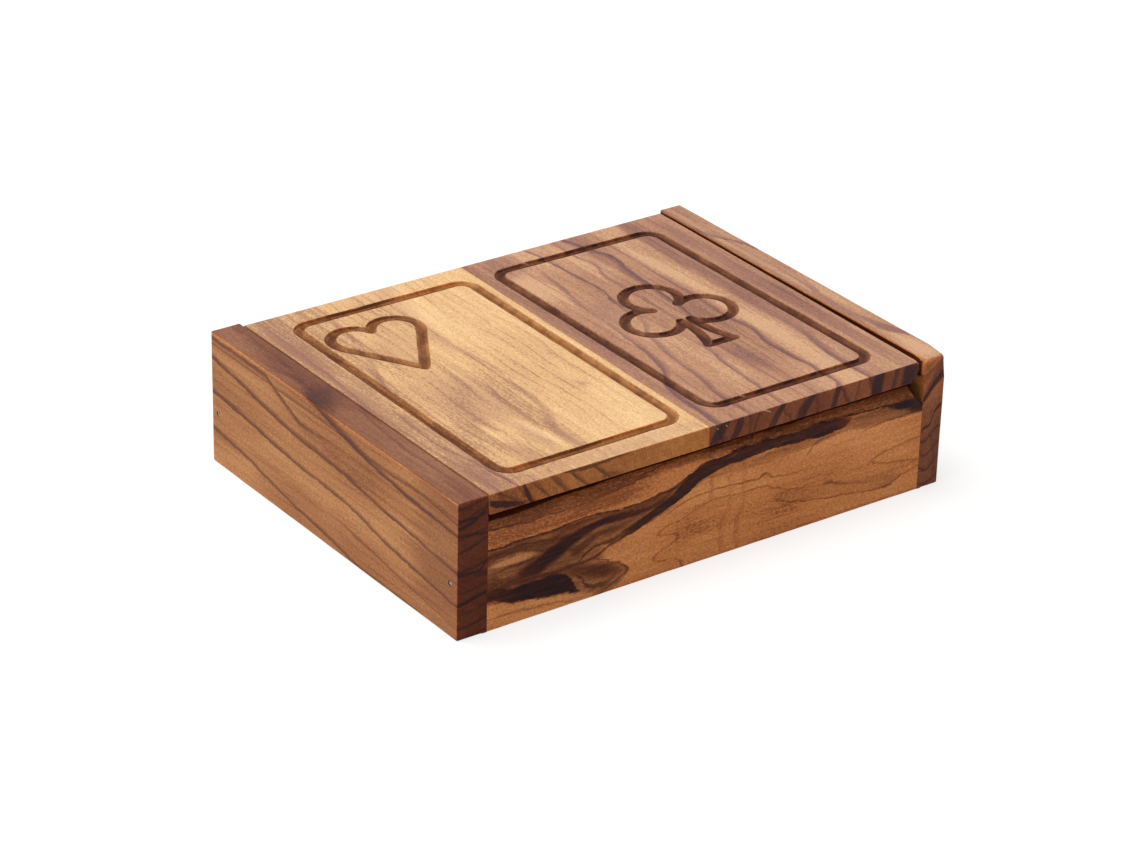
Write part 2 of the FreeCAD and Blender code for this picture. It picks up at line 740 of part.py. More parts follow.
def make_heart_board():
    """The left lid board, paler, with the heart."""
    width_front = seam_front - lid_left
    width_back = seam_back - lid_left
    body = new_body("lid_board_heart", lid_left, NONE, rim_height)
    outline = new_sketch(body, "heart_board_outline", "XY_Plane")
    draw_polygon(outline, [(0, 0), (width_front, 0), (width_back, box_depth), (0, box_depth)])
    pad(body, outline, lid_thickness)
    round_heel(body)

    bore = new_sketch(body, "heart_board_pin_bore", "YZ_Plane")
    draw_circle(bore, (hinge_from_front, hinge_inset), lid_bore_radius)
    pocket(body, bore, lid_bore_depth, along_normal=True)

    left = cell("heart_card_left_margin")
    back = box_depth - cell("heart_card_back_margin")
    rout_card(body, "heart_card", left, cell("heart_card_front_margin"),
              width_front - cell("heart_card_seam_margin"), back)
    rout_heart(body, left, back)
    return body


def make_club_board():
    """The right lid board, darker, with the club and a rounded lower right edge."""
    width_front = lid_right_front - seam_front
    width_back = lid_right_back - seam_front
    body = new_body("lid_board_club", seam_front, NONE, rim_height)
    outline = new_sketch(body, "club_board_outline", "XY_Plane")
    draw_polygon(outline, [(0, 0), (width_front, 0), (width_back, box_depth),
                           (cell("seam_skew"), box_depth)])
    pad(body, outline, lid_thickness)
    round_heel(body)
    round_edges(
        body, "club_board_lower_edge", cell("lid_edge_radius"),
        lambda edge: lies_on(edge, z=0) and edge.BoundBox.XMin > width_front.value - TOLERANCE
        and edge.Length > box_depth.value / 2,
    )

    bore = new_sketch(body, "club_board_pin_bore", "YZ_Plane", (0, 0, width_back))
    draw_circle(bore, (hinge_from_front, hinge_inset), lid_bore_radius)
    pocket(body, bore, lid_bore_depth)

    left = cell("club_card_seam_margin")
    front = cell("club_card_front_margin")
    right = width_front - cell("club_card_right_margin")
    back = box_depth - cell("club_card_back_margin")
    rout_card(body, "club_card", left, front, right, back)
    rout_club(body, left, right, front, back)
    return body


def make_hinge_pin(label, left_end, right_end):
    """A plain pin with bevelled ends, fast in the lid and free in the side wall."""
    body = new_body(label, left_end, hinge_from_front, hinge_height)
    section = new_sketch(body, f"{label}_section", "YZ_Plane")
    draw_circle(section, (0, 0), pin_radius)
    pad(body, section, right_end - left_end)
    bevel_edges(body, f"{label}_ends", cell("pin_chamfer"),
                lambda edge: lies_on(edge, x=0) or lies_on(edge, x=right_end - left_end))
    return body


# --------------------------------------------------------------------------------------
# Build, check and write
# --------------------------------------------------------------------------------------
def check_and_export(pieces):
    """Stop on any failed object or bad shape, then write one STEP file for each piece."""
    doc.recompute()
    for thing in doc.Objects:
        if {"Invalid", "Error"} & set(thing.State):
            raise RuntimeError(f"{thing.Name} failed: {thing.State}")
    for piece in pieces:
        if piece.Shape.isNull() or not piece.Shape.isValid() or not piece.Shape.Solids:
            raise RuntimeError(f"{piece.Label} has no valid solid")
    os.makedirs(PARTS_FOLDER, exist_ok=True)
    for piece in pieces:
        piece.Shape.exportStep(os.path.join(PARTS_FOLDER, f"{piece.Label}.step"))
        print(f"{piece.Label}: {len(piece.Shape.Solids)} solid(s), "
              f"{piece.Shape.Volume:.1f} mm3")


check_and_export([
    make_side_wall("left_wall", NONE, left_wall, left_wall, NONE),
    make_side_wall("right_wall", box_length - right_wall, right_wall, NONE, right_wall),
    make_front_wall(),
    make_back_wall(),
    make_floor(),
    make_divider(),
    make_corner_brads(),
    make_heart_board(),
    make_club_board(),
    make_hinge_pin("hinge_pin_left", left_wall - cell("pin_in_wall"),
                   lid_left + cell("pin_in_lid")),
    make_hinge_pin("hinge_pin_right", lid_right_back - cell("pin_in_lid"),
                   box_length - right_wall + cell("pin_in_wall")),
])
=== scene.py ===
import logging
import math
from dataclasses import dataclass
from enum import Enum
from typing import Optional, Sequence, Union

import bpy
import numpy as np
from mathutils import Matrix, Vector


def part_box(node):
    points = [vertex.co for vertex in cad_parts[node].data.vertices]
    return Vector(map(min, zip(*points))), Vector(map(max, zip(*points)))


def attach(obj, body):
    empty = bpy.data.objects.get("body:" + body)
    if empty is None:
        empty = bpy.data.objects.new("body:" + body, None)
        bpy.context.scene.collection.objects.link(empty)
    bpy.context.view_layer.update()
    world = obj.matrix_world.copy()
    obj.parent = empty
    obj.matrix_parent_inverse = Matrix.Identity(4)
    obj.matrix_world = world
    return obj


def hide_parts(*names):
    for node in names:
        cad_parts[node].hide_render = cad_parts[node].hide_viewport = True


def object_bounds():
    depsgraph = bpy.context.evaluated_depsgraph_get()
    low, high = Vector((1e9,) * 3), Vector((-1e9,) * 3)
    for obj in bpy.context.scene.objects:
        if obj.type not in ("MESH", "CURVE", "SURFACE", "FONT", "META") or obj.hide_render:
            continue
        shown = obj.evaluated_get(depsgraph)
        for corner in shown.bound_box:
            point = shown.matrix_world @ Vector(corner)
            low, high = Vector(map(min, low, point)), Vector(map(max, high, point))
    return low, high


# A card box of olive wood, dressed for a studio picture.
#
# Sizes and places on the box are in millimetres, measured from the lower left front corner of
# its outline: x to the right, y to the back, z up. to_metres() takes them into the frame.

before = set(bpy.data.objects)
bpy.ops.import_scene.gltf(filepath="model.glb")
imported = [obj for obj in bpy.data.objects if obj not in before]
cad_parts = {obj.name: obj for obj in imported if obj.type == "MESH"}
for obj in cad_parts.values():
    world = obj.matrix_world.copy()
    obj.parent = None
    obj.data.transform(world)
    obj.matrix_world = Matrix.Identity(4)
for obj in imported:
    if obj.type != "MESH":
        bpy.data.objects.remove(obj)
CAD_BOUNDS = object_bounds()
logging.basicConfig(level=logging.INFO, format="%(name)s: %(message)s")
log = logging.getLogger("card_box")

MM_PER_METRE = 1000.0
CORNER = np.array(CAD_BOUNDS[0]) * MM_PER_METRE
# Keeps a division by a length from failing where the length is nothing.
TINY = 1e-9
# Spacing of the mesh on plain wood, and beside a broken corner, in millimetres.
PLAIN_STEP = 2.0
CHIP_STEP = 0.4
# How far a block is taken to run on past an end whose arrises stay sharp, in millimetres.
RUN_ON = 50.0
# How uneven the rubbed arrises of the walls are, as a share of their rounding, and the length
# of the waves in it, in millimetres.
UNEVEN = 0.22
UNEVEN_LENGTH = 14.0
# Where, in roundings from an arris, the rubbed look and its painted highlight have gone.
RUB_REACH = 2.4

Colour = tuple[float, float, float]
Number = Union[float, "Signal"]


class Face(Enum):
    """A face that a figure is drawn on, as its along, across and through axes.

    RISING is the front face with its lines drawn upwards.
    """

    TOP = (1, 0, 2)
    SIDE = (1, 2, 0)
    FRONT = (0, 2, 1)
    RISING = (2, 0, 1)


class Grain(Enum):
    """The axis that the fibres of a board run along."""

    ALONG_X = 0
    ALONG_Y = 1


def node_box(node: str) -> tuple[np.ndarray, np.ndarray]:
    """The lowest and highest corner of a CAD node, in millimetres on the box.

    Args:
        node: the name of the node.

    Returns:
        Two arrays of three numbers.
    """
    corners = np.array(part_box(node)) * MM_PER_METRE - CORNER
    return tuple(np.round(corners, 3))


def to_metres(points: np.ndarray) -> np.ndarray:
    """Points on the box, in millimetres, as points in the frame, in metres."""
    return (points + CORNER) / MM_PER_METRE


# Surfaces
def ripple(points: np.ndarray, length: float, seed: int) -> np.ndarray:
    """A smooth uneven number at each point, between about -1 and 1.

    It is the mean of several sine waves that run in seeded directions, with wavelengths from
    half to twice the given length.

    Args:
        points: places in millimetres, one row each.
        length: the middle wavelength in millimetres.
        seed: picks the directions and the phases.

    Returns:
        One number for each point.
    """
    random = np.random.default_rng(seed)
    waves = 7
    directions = random.normal(size=(points.shape[1], waves))
    directions /= np.linalg.norm(directions, axis=0)
    lengths = length * 2.0 ** random.uniform(-1, 1, waves)
    phases = random.uniform(0, 2 * math.pi, waves)
    return np.sin(2 * math.pi * (points @ directions) / lengths + phases).mean(axis=1) * 1.6


def ruled_lines(low: float, high: float, step: float,
                bands: Sequence[tuple[float, float, float]] = (),
                extra: Sequence[float] = ()) -> np.ndarray:
    """Grid lines from one number to another, closer together inside some bands.

    Args:
        low: the first line.
        high: the last line.
        step: the spacing outside the bands.
        bands: the start, end and spacing of each band.
        extra: more single lines.

    Returns:
        The lines in rising order.
    """
    plain = np.linspace(low, high, max(2, round((high - low) / step) + 1))
    for start, end, _ in bands:
        plain = plain[(plain < start - step / 3) | (plain > end + step / 3)]
    fine = [np.linspace(start, end, max(2, round((end - start) / spacing) + 1))
            for start, end, spacing in bands]
    lines = np.concatenate([plain, *fine, np.array(extra, float), [low, high]])
    return np.unique(np.round(lines[(lines >= low) & (lines <= high)], 3))


def arris_lines(low: float, high: float, radius: float) -> list[float]:
    """The lines that a rounded arris needs beside both ends of a stretch."""
    offsets = (0.0, 0.4 * radius, radius, 1.4 * radius, 2.4 * radius)
    return [low + offset for offset in offsets] + [high - offset for offset in offsets]


def cells_between(lines: Sequence[np.ndarray], low: Sequence[float],
                  high: Sequence[float]) -> np.ndarray:
    """Which cells of a lattice lie between two corners.

    Args:
        lines: the lattice's lines along x, y and z.
        low: the lowest corner.
        high: the highest corner.

    Returns:
        A truth value for each cell.
    """
    middles = [(axis_lines[1:] + axis_lines[:-1]) / 2 for axis_lines in lines]
    inside = [(middle > start) & (middle < end)
              for middle, start, end in zip(middles, low, high)]
    return inside[0][:, None, None] & inside[1][None, :, None] & inside[2][None, None, :]


def lattice_skin(lines: Sequence[np.ndarray],
                 cuts: Sequence[tuple[Sequence[float], Sequence[float]]] = (),
                 plate: Optional[tuple[int, int, int, int]] = None,
                 ) -> tuple[np.ndarray, list[np.ndarray]]:
    """The closed skin of a block on a lattice, with some of its cells cut away.

    A face stands wherever a solid cell meets an empty one, and faces the empty one.

    Args:
        lines: the lattice's lines along x, y and z.
        cuts: the lowest and highest corner of each part that is cut away.
        plate: first and last x line, then first and last y line, of a stretch of the
            underside that is left as one flat face.

    Returns:
        The points of the skin, and the corner numbers of its outward faces.
    """
    shape = tuple(len(axis_lines) for axis_lines in lines)
    grid = np.arange(np.prod(shape)).reshape(shape)
    solid = np.ones([size - 1 for size in shape], bool)
    for low, high in cuts:
        solid &= ~cells_between(lines, low, high)
    padded = np.pad(solid, 1)
    faces = []
    for axis in range(3):
        cells = np.moveaxis(padded, axis, 0)[:, 1:-1, 1:-1]
        points = np.moveaxis(grid, axis, 0)
        corners = np.stack((points[:, :-1, :-1], points[:, 1:, :-1],
                            points[:, 1:, 1:], points[:, :-1, 1:]), axis=-1)
        if axis == 1:
            corners = corners[..., ::-1]
        upper = cells[:-1] & ~cells[1:]
        lower = ~cells[:-1] & cells[1:]
        if axis == 2 and plate:
            lower[0, plate[0]:plate[1], plate[2]:plate[3]] = False
        faces += list(corners[upper]) + list(corners[lower][:, ::-1])
    if plate:
        left, right, front, back = plate
        bottom = grid[:, :, 0]
        loop = (bottom[left:right, front], bottom[right, front:back],
                bottom[right:left:-1, back], bottom[left, back:front:-1])
        faces.append(np.concatenate(loop)[::-1])
    used, places = np.unique(np.concatenate(faces), return_inverse=True)
    starts = np.cumsum([len(face) for face in faces])[:-1]
    where = np.unravel_index(used, shape)
    points = np.stack([lines[axis][where[axis]] for axis in range(3)], axis=1)
    return points, np.split(places, starts)


def round_out(points: np.ndarray, axes: tuple[int, int], centre: Sequence[float],
              hole: float, reach: float) -> np.ndarray:
    """Turn the square rings of a lattice about a centre into circles.

    A ring at the hole's radius or nearer becomes a circle of that radius; from there to the
    reach the rings go smoothly back to squares.

    Args:
        points: the lattice's points.
        axes: the two axes that the rings lie in.
        centre: the middle of the rings on those axes.
        hole: the radius of the hole.
        reach: where the rings are square again.

    Returns:
        The moved points.
    """
    arm = points[:, axes] - np.array(centre)
    ring = np.abs(arm).max(axis=1)
    share = np.clip((ring - hole) / (reach - hole), 0, 1)
    scale = ring / np.maximum(np.linalg.norm(arm, axis=1), TINY)
    moved = points.copy()
    moved[:, axes] = np.array(centre) + arm * (scale + (1 - scale) * share)[:, None]
    return moved


def ease_arrises(points: np.ndarray, low: np.ndarray, high: np.ndarray,
                 radius: np.ndarray) -> np.ndarray:
    """Round the arrises of a block.

    Each point is moved on to the ball of the given radius about the nearest point of the box
    that is one radius smaller all round. Points away from the arrises stay where they are.

    Args:
        points: places on the block's skin.
        low, high: the block's lowest and highest corner.
        radius: the rounding at each point.

    Returns:
        The moved points.
    """
    inner = np.clip(points, low + radius[:, None], high - radius[:, None])
    arm = points - inner
    length = np.linalg.norm(arm, axis=1)
    share = radius / np.maximum(length, TINY)
    return np.where((length < radius)[:, None], points, inner + arm * share[:, None])


def rubbed(points: np.ndarray, low: np.ndarray, high: np.ndarray, arris: float) -> np.ndarray:
    """How rubbed each point of a block's skin is, which also places a painted highlight along the
    arrises: fully on an arris, and less and less up to RUB_REACH roundings from it. The distance
    from the nearest arris is the second smallest of the distances from the block's faces.

    Args:
        points: places on the block's skin, before its arrises are rounded.
        low, high: the block's lowest and highest corner.
        arris: how far its arrises are rubbed down.

    Returns:
        A number from 0 to 1 for each point.
    """
    near = np.sort(np.minimum(points - low, high - points), axis=1)[:, 1]
    return np.clip(1 - near / (RUB_REACH * arris), 0, 1)


def make_mesh(name: str, points: np.ndarray, faces: Sequence[Sequence[int]],
              attributes: Optional[dict[str, np.ndarray]] = None,
              sharp_angle: float = 38.0) -> bpy.types.Object:
    """Make a smooth-shaded mesh object with its place in its mesh.

    Args:
        name: the object's name.
        points: places on the box, in millimetres.
        faces: corner numbers of each face.
        attributes: one number for each point, by name.
        sharp_angle: edges that turn by more degrees than this stay crisp.

    Returns:
        The object.
    """
    mesh = bpy.data.meshes.new(name)
    mesh.from_pydata(to_metres(points), [], faces)
    mesh.validate()
    for label, values in (attributes or {}).items():
        layer = mesh.attributes.new(label, "FLOAT", "POINT")
        layer.data.foreach_set("value", values.astype(np.float32))
    mesh.shade_smooth()
    mesh.set_sharp_from_angle(angle=math.radians(sharp_angle))
    thing = bpy.data.objects.new(name, mesh)
    bpy.context.scene.collection.objects.link(thing)
    return thing


# The routed lines of the lid
@dataclass(frozen=True)
class Stroke:
    """A straight stroke of the cutter.

    Attributes:
        start: where it starts, x and y.
        end: where it ends, x and y.
    """

    start: tuple[float, float]
    end: tuple[float, float]

    def distance(self, places: np.ndarray) -> np.ndarray:
        """How far each place is from the nearest point of the stroke.

        Args:
            places: x and y, one row each.

        Returns:
            One distance for each place.
        """
        start, run = np.array(self.start), np.array(self.end) - np.array(self.start)
        share = np.clip((places - start) @ run / (run @ run), 0, 1)
        return np.linalg.norm(places - start - share[:, None] * run, axis=1)


@dataclass(frozen=True)
class Sweep:
    """A round sweep of the cutter.

    Attributes:
        centre: the middle of its circle, x and y.
        radius: the circle's radius.
        first: the angle in degrees where it starts.
        last: the angle where it ends, going anticlockwise.
    """

    centre: tuple[float, float]
    radius: float
    first: float
    last: float

    def distance(self, places: np.ndarray) -> np.ndarray:
        """How far each place is from the circle where the sweep covers its angle, and
        elsewhere from the nearer end of the sweep.

        Args:
            places: x and y, one row each.

        Returns:
            One distance for each place.
        """
        arm = places - np.array(self.centre)
        angle = np.degrees(np.arctan2(arm[:, 1], arm[:, 0]))
        on_sweep = np.abs(np.linalg.norm(arm, axis=1) - self.radius)
        ends = [np.linalg.norm(arm - self.radius * np.array([math.cos(math.radians(end)),
                                                             math.sin(math.radians(end))]), axis=1)
                for end in (self.first, self.last)]
        covered = (angle - self.first) % 360 <= self.last - self.first
        return np.where(covered, on_sweep, np.minimum(*ends))


def card_outline(corners: Sequence[tuple[float, float]],
                 radius: float) -> list[Union[Stroke, Sweep]]:
    """The outline of a playing card: four strokes and four corner sweeps.

    The hand that routs it leaves its corners a little off the square. Each sweep touches the
    two sides that meet at its corner, so it starts and ends the radius times the tangent of
    half its turn away from the corner.

    Args:
        corners: the sharp corners, anticlockwise.
        radius: of the rounded corners.

    Returns:
        The cutter's strokes and sweeps.
    """
    points = [np.array(corner) for corner in corners]
    lines, joints = [], []
    for before, corner, after in zip(points[-1:] + points[:-1], points, points[1:] + points[:1]):
        way_in, way_out = (corner - before), (after - corner)
        way_in, way_out = way_in / np.linalg.norm(way_in), way_out / np.linalg.norm(way_out)
        first = math.degrees(math.atan2(-way_in[0], way_in[1]))
        turn = math.degrees(math.asin(way_in[0] * way_out[1] - way_in[1] * way_out[0]))
        back_off = radius * math.tan(math.radians(turn / 2))
        start, end = corner - back_off * way_in, corner + back_off * way_out
        centre = start + radius * np.array([-way_in[1], way_in[0]])
        lines.append(Sweep(tuple(centre), radius, first, first + turn))
        joints.append((start, end))
    for (_, end), (start, _) in zip(joints, joints[1:] + joints[:1]):
        lines.append(Stroke(tuple(end), tuple(start)))
    return lines


def heart(middle: float, lobes: float, radius: float, notch_angle: float,
          drop: float) -> list[Union[Stroke, Sweep]]:
    """A heart: two lobes that meet at a notch, and two flanks that touch them and meet at the
    tip.

    Args:
        middle: the heart's own axis.
        lobes: the height of the lobes' centres on the lid.
        radius: the lobes' radius.
        notch_angle: where the lobes meet, in degrees above the line of their centres.
        drop: the lobes' centres down to the tip.

    Returns:
        The cutter's strokes and sweeps.
    """
    half = radius * math.cos(math.radians(notch_angle))
    reach = math.hypot(half, drop)
    touch = math.degrees(math.atan2(-drop, half) - math.acos(radius / reach)) + 360
    tip = (middle, lobes - drop)
    touch_x = radius * math.cos(math.radians(touch)) - half
    touch_y = lobes + radius * math.sin(math.radians(touch))
    return [Sweep((middle - half, lobes), radius, notch_angle, touch),
            Sweep((middle + half, lobes), radius, 180 - touch, 180 - notch_angle),
            Stroke((middle + touch_x, touch_y), tip), Stroke((middle - touch_x, touch_y), tip)]


def club(middle: float, leaves: float, radius: float, leaf_angle: float, stem_angle: float,
         foot_half: float, foot_drop: float, stem_curve: float) -> list[Union[Stroke, Sweep]]:
    """A club: three touching leaves on a stem with hollow sides and a flat foot.

    Args:
        middle: the club's own axis.
        leaves: the height of the side leaves' centres on the lid.
        radius: the leaves' radius.
        leaf_angle: from straight down to the line between the top and a side leaf's centres.
        stem_angle: where a side leaf ends at the stem, in degrees below its centre.
        foot_half: half the foot's width.
        foot_drop: the side leaves' centres down to the foot.
        stem_curve: the radius of the stem's hollow sides.

    Returns:
        The cutter's strokes and sweeps.
    """
    across = 2 * radius * math.sin(math.radians(leaf_angle))
    rise = 2 * radius * math.cos(math.radians(leaf_angle))
    touch = 90 - leaf_angle
    stem_top = np.array([across - radius * math.cos(math.radians(stem_angle)),
                         -radius * math.sin(math.radians(stem_angle))])
    foot = np.array([foot_half, -foot_drop])
    chord = foot - stem_top
    outward = np.array([-chord[1], chord[0]]) / np.linalg.norm(chord)
    hollow = stem_top + chord / 2 + outward * math.sqrt(stem_curve ** 2 - chord @ chord / 4)
    ends = [math.degrees(math.atan2(*(point - hollow)[::-1])) % 360 for point in (stem_top, foot)]
    first, last = min(ends), max(ends)
    return [
        Sweep((middle, leaves + rise), radius, -touch, 180 + touch),
        Sweep((middle - across, leaves), radius, touch, 360 - stem_angle),
        Sweep((middle + across, leaves), radius, stem_angle - 180, 180 - touch),
        Sweep((middle + hollow[0], leaves + hollow[1]), stem_curve, first, last),
        Sweep((middle - hollow[0], leaves + hollow[1]), stem_curve, 180 - last, 180 - first),
        Stroke((middle - foot_half, leaves - foot_drop), (middle + foot_half, leaves - foot_drop)),
    ]


@dataclass(frozen=True)
class Cutter:
    """A round-nosed cutter, held by hand against a template.

    Attributes:
        radius: of its nose.
        depth: of the groove.
        rim: how softly the groove's rims are rubbed down.
        wander: how far the hand lets it stray.
    """

    radius: float = 1.7
    depth: float = 1.2
    rim: float = 0.14
    wander: float = 0.09

    def half_width(self) -> float:
        """Half the groove's width at the surface."""
        return math.sqrt(self.radius ** 2 - (self.radius - self.depth) ** 2)

    def distance(self, places: np.ndarray, lines: Sequence[Union[Stroke, Sweep]]) -> np.ndarray:
        """How far each place is from the nearest of the cutter's lines, strayed a little."""
        nearest = np.min([line.distance(places) for line in lines], axis=0)
        return np.maximum(nearest + self.wander * ripple(places, 9.0, 5), 0)

    def sink(self, distance: np.ndarray) -> np.ndarray:
        """The groove's depth: a circle's arc inside the groove, a steep straight slope outside
        it, and a smooth maximum of that and nothing.

        Args:
            distance: from the cutter's line.

        Returns:
            The depth at each distance.
        """
        half = self.half_width()
        lift = self.radius - self.depth
        arc = np.sqrt(np.maximum(self.radius ** 2 - np.minimum(distance, half) ** 2, 0)) - lift
        outside = -np.maximum(distance - half, 0) * half / lift
        height = arc + outside
        return 0.5 * (height + np.sqrt(height ** 2 + self.rim ** 2))


# Shader arithmetic
class Signal:
    """A number that a material works out at each point of a surface."""

    def __init__(self, graph: "Graph", socket: bpy.types.NodeSocket) -> None:
        """Wrap a node's output socket."""
        self.graph = graph
        self.socket = socket

    def __add__(self, other: Number) -> "Signal":
        """The sum."""
        return self.graph.math("ADD", self, other)

    def __sub__(self, other: Number) -> "Signal":
        """The difference."""
        return self.graph.math("SUBTRACT", self, other)

    def __mul__(self, other: Number) -> "Signal":
        """The product."""
        return self.graph.math("MULTIPLY", self, other)

    def __truediv__(self, other: Number) -> "Signal":
        """The quotient."""
        return self.graph.math("DIVIDE", self, other)

    def __pow__(self, other: Number) -> "Signal":
        """The power."""
        return self.graph.math("POWER", self, other)

    def inverse(self) -> "Signal":
        """One less this number."""
        return self.graph.math("SUBTRACT", 1.0, self)

    def fraction(self) -> "Signal":
        """What follows the decimal point."""
        return self.graph.math("FRACT", self)

    def size(self) -> "Signal":
        """The number without its sign."""
        return self.graph.math("ABSOLUTE", self)

    def larger(self, other: Number) -> "Signal":
        """The larger of the two."""
        return self.graph.math("MAXIMUM", self, other)

    def sway(self, share: float) -> "Signal":
        """How far a noise lies from its middle, times a share."""
        return (self - 0.5) * share

    def step(self, start: float, end: float, low: float = 0.0, high: float = 1.0) -> "Signal":
        """A smooth step.

        Args:
            start: where it begins to leave its first height. It may lie above the end.
            end: where it has reached its second height.
            low: the height at the start.
            high: the height at the end.

        Returns:
            The step's height.
        """
        node = self.graph.node("MapRange")
        node.interpolation_type = "SMOOTHSTEP"
        if start > end:
            start, end, low, high = end, start, high, low
        for label, number in (("Value", self), ("From Min", start), ("From Max", end),
                              ("To Min", low), ("To Max", high)):
            self.graph.feed(node.inputs[label], number)
        return Signal(self.graph, node.outputs["Result"])

    def follow(self, points: Sequence[tuple[float, float]], low: float, high: float) -> "Signal":
        """The height of a smooth curve at this number, level beyond the curve's ends.

        Args:
            points: places on the curve: this number and the curve's height there.
            low: the lowest height that the curve may take.
            high: the highest.

        Returns:
            The curve's height.
        """
        start, end = points[0][0], points[-1][0]
        spots = [((place - start) / (end - start), (height - low) / (high - low))
                 for place, height in points]
        node = self.graph.node("FloatCurve")
        node.mapping.extend = "HORIZONTAL"
        line = node.mapping.curves[0]
        line.points[0].location = spots[0]
        line.points[1].location = spots[-1]
        for spot in spots[1:-1]:
            line.points.new(*spot)
        for point in line.points:
            point.handle_type = "AUTO_CLAMPED"
        node.mapping.update()
        self.graph.feed(node.inputs["Value"], (self - start) / (end - start))
        return Signal(self.graph, node.outputs["Value"]) * (high - low) + low


class Graph:
    """A material's nodes, with a short call for each kind that the finishes use."""

    def __init__(self, name: str) -> None:
        """Make an empty material with a shader and an output."""
        self.material = bpy.data.materials.new(name)
        self.material.use_nodes = True
        self.tree = self.material.node_tree
        self.tree.nodes.clear()
        self.shader = self.node("BsdfPrincipled")
        output = self.node("OutputMaterial")
        self.feed(output.inputs["Surface"], self.shader.outputs["BSDF"])

    def node(self, kind: str) -> bpy.types.Node:
        """A new node."""
        return self.tree.nodes.new(f"ShaderNode{kind}")

    def feed(self, socket: bpy.types.NodeSocket, value: object) -> None:
        """Link a signal or a socket to a socket, or set the socket's own value.

        Args:
            socket: the one that is fed.
            value: what feeds it.
        """
        if isinstance(value, Signal):
            value = value.socket
        if isinstance(value, bpy.types.NodeSocket):
            self.tree.links.new(value, socket)
        else:
            socket.default_value = value

    def math(self, operation: str, *values: Number) -> Signal:
        """One step of arithmetic.

        Args:
            operation: its kind.
            values: the numbers that go in.

        Returns:
            The number that comes out.
        """
        node = self.node("Math")
        node.operation = operation
        for socket, value in zip(node.inputs, values):
            self.feed(socket, value)
        return Signal(self, node.outputs[0])

    def vector(self, *values: Number) -> bpy.types.NodeSocket:
        """Three numbers as one vector, or as one colour."""
        node = self.node("CombineXYZ")
        for socket, value in zip(node.inputs, values):
            self.feed(socket, value)
        return node.outputs[0]

    def noise(self, place: Sequence[Number], detail: float = 2.0,
              roughness: float = 0.5) -> tuple[Signal, Signal, Signal]:
        """Three independent smooth noises, each about 0.5.

        Args:
            place: where to take them, in their own grains.
            detail: how many finer noises lie over the first.
            roughness: how strong the finer ones are.

        Returns:
            The three noises.
        """
        node = self.node("TexNoise")
        self.feed(node.inputs["Vector"], self.vector(*place))
        for label, number in (("Scale", 1.0), ("Detail", detail), ("Roughness", roughness)):
            node.inputs[label].default_value = number
        split = self.node("SeparateColor")
        self.feed(split.inputs[0], node.outputs["Color"])
        return tuple(Signal(self, socket) for socket in split.outputs)

    def mix(self, share: Number, first: object, second: object,
            blend: str = "MIX") -> bpy.types.NodeSocket:
        """A share of the second colour over the first.

        Args:
            share: from 0 to 1.
            first: the colour underneath.
            second: the colour on top.
            blend: the way that the second one covers.

        Returns:
            The mixed colour.
        """
        node = self.node("Mix")
        node.data_type = "RGBA"
        node.blend_type = blend
        self.feed(node.inputs["Factor"], share)
        for socket, value in ((node.inputs[6], first), (node.inputs[7], second)):
            self.feed(socket, (*value, 1.0) if isinstance(value, tuple) else value)
        return node.outputs[2]

    def ramp(self, value: Signal,
             stops: Sequence[tuple[float, Colour]]) -> bpy.types.NodeSocket:
        """A colour that goes smoothly through some stops.

        Args:
            value: the number that it follows.
            stops: numbers in rising order, each with its colour.

        Returns:
            The colour.
        """
        node = self.node("ValToRGB")
        node.color_ramp.interpolation = "EASE"
        elements = node.color_ramp.elements
        while len(elements) < len(stops):
            elements.new(0.5)
        for element, (place, colour) in zip(elements, stops):
            element.position = place
            element.color = (*colour, 1.0)
        self.feed(node.inputs[0], value)
        return node.outputs["Color"]

    def place(self) -> tuple[Signal, Signal, Signal]:
        """The place on the box, in millimetres."""
        source = self.node("TexCoord")
        shift = self.node("VectorMath")
        shift.operation = "MULTIPLY_ADD"
        shift.inputs[1].default_value = (MM_PER_METRE,) * 3
        shift.inputs[2].default_value = tuple(-CORNER)
        self.feed(shift.inputs[0], source.outputs["Object"])
        return self.split(shift.outputs[0])

    def normal(self) -> tuple[Signal, Signal, Signal]:
        """The way that the surface faces on the piece itself."""
        return self.split(self.node("TexCoord").outputs["Normal"])

    def split(self, vector: bpy.types.NodeSocket) -> tuple[Signal, Signal, Signal]:
        """The three numbers of a vector."""
        node = self.node("SeparateXYZ")
        self.feed(node.inputs[0], vector)
        return tuple(Signal(self, socket) for socket in node.outputs)

    def attribute(self, name: str) -> Signal:
        """A number that the mesh carries."""
        node = self.node("Attribute")
        node.attribute_name = name
        return Signal(self, node.outputs["Fac"])

    def finish(self, colour: bpy.types.NodeSocket, roughness: Number, height: Signal,
               depth_mm: float, strength: float) -> bpy.types.Material:
        """Join colour, roughness and relief to the shader.

        Args:
            colour: the surface's colour.
            roughness: the surface's roughness.
            height: the relief, from 0 to 1.
            depth_mm: how deep a relief of 1 is.
            strength: how much of the relief shows.

        Returns:
            The material.
        """
        bump = self.node("Bump")
        bump.inputs["Strength"].default_value = strength
        bump.inputs["Distance"].default_value = depth_mm / MM_PER_METRE
        self.feed(bump.inputs["Height"], height)
        self.feed(self.shader.inputs["Base Color"], colour)
        self.feed(self.shader.inputs["Roughness"], roughness)
        self.feed(self.shader.inputs["Normal"], bump.outputs[0])
        return self.material


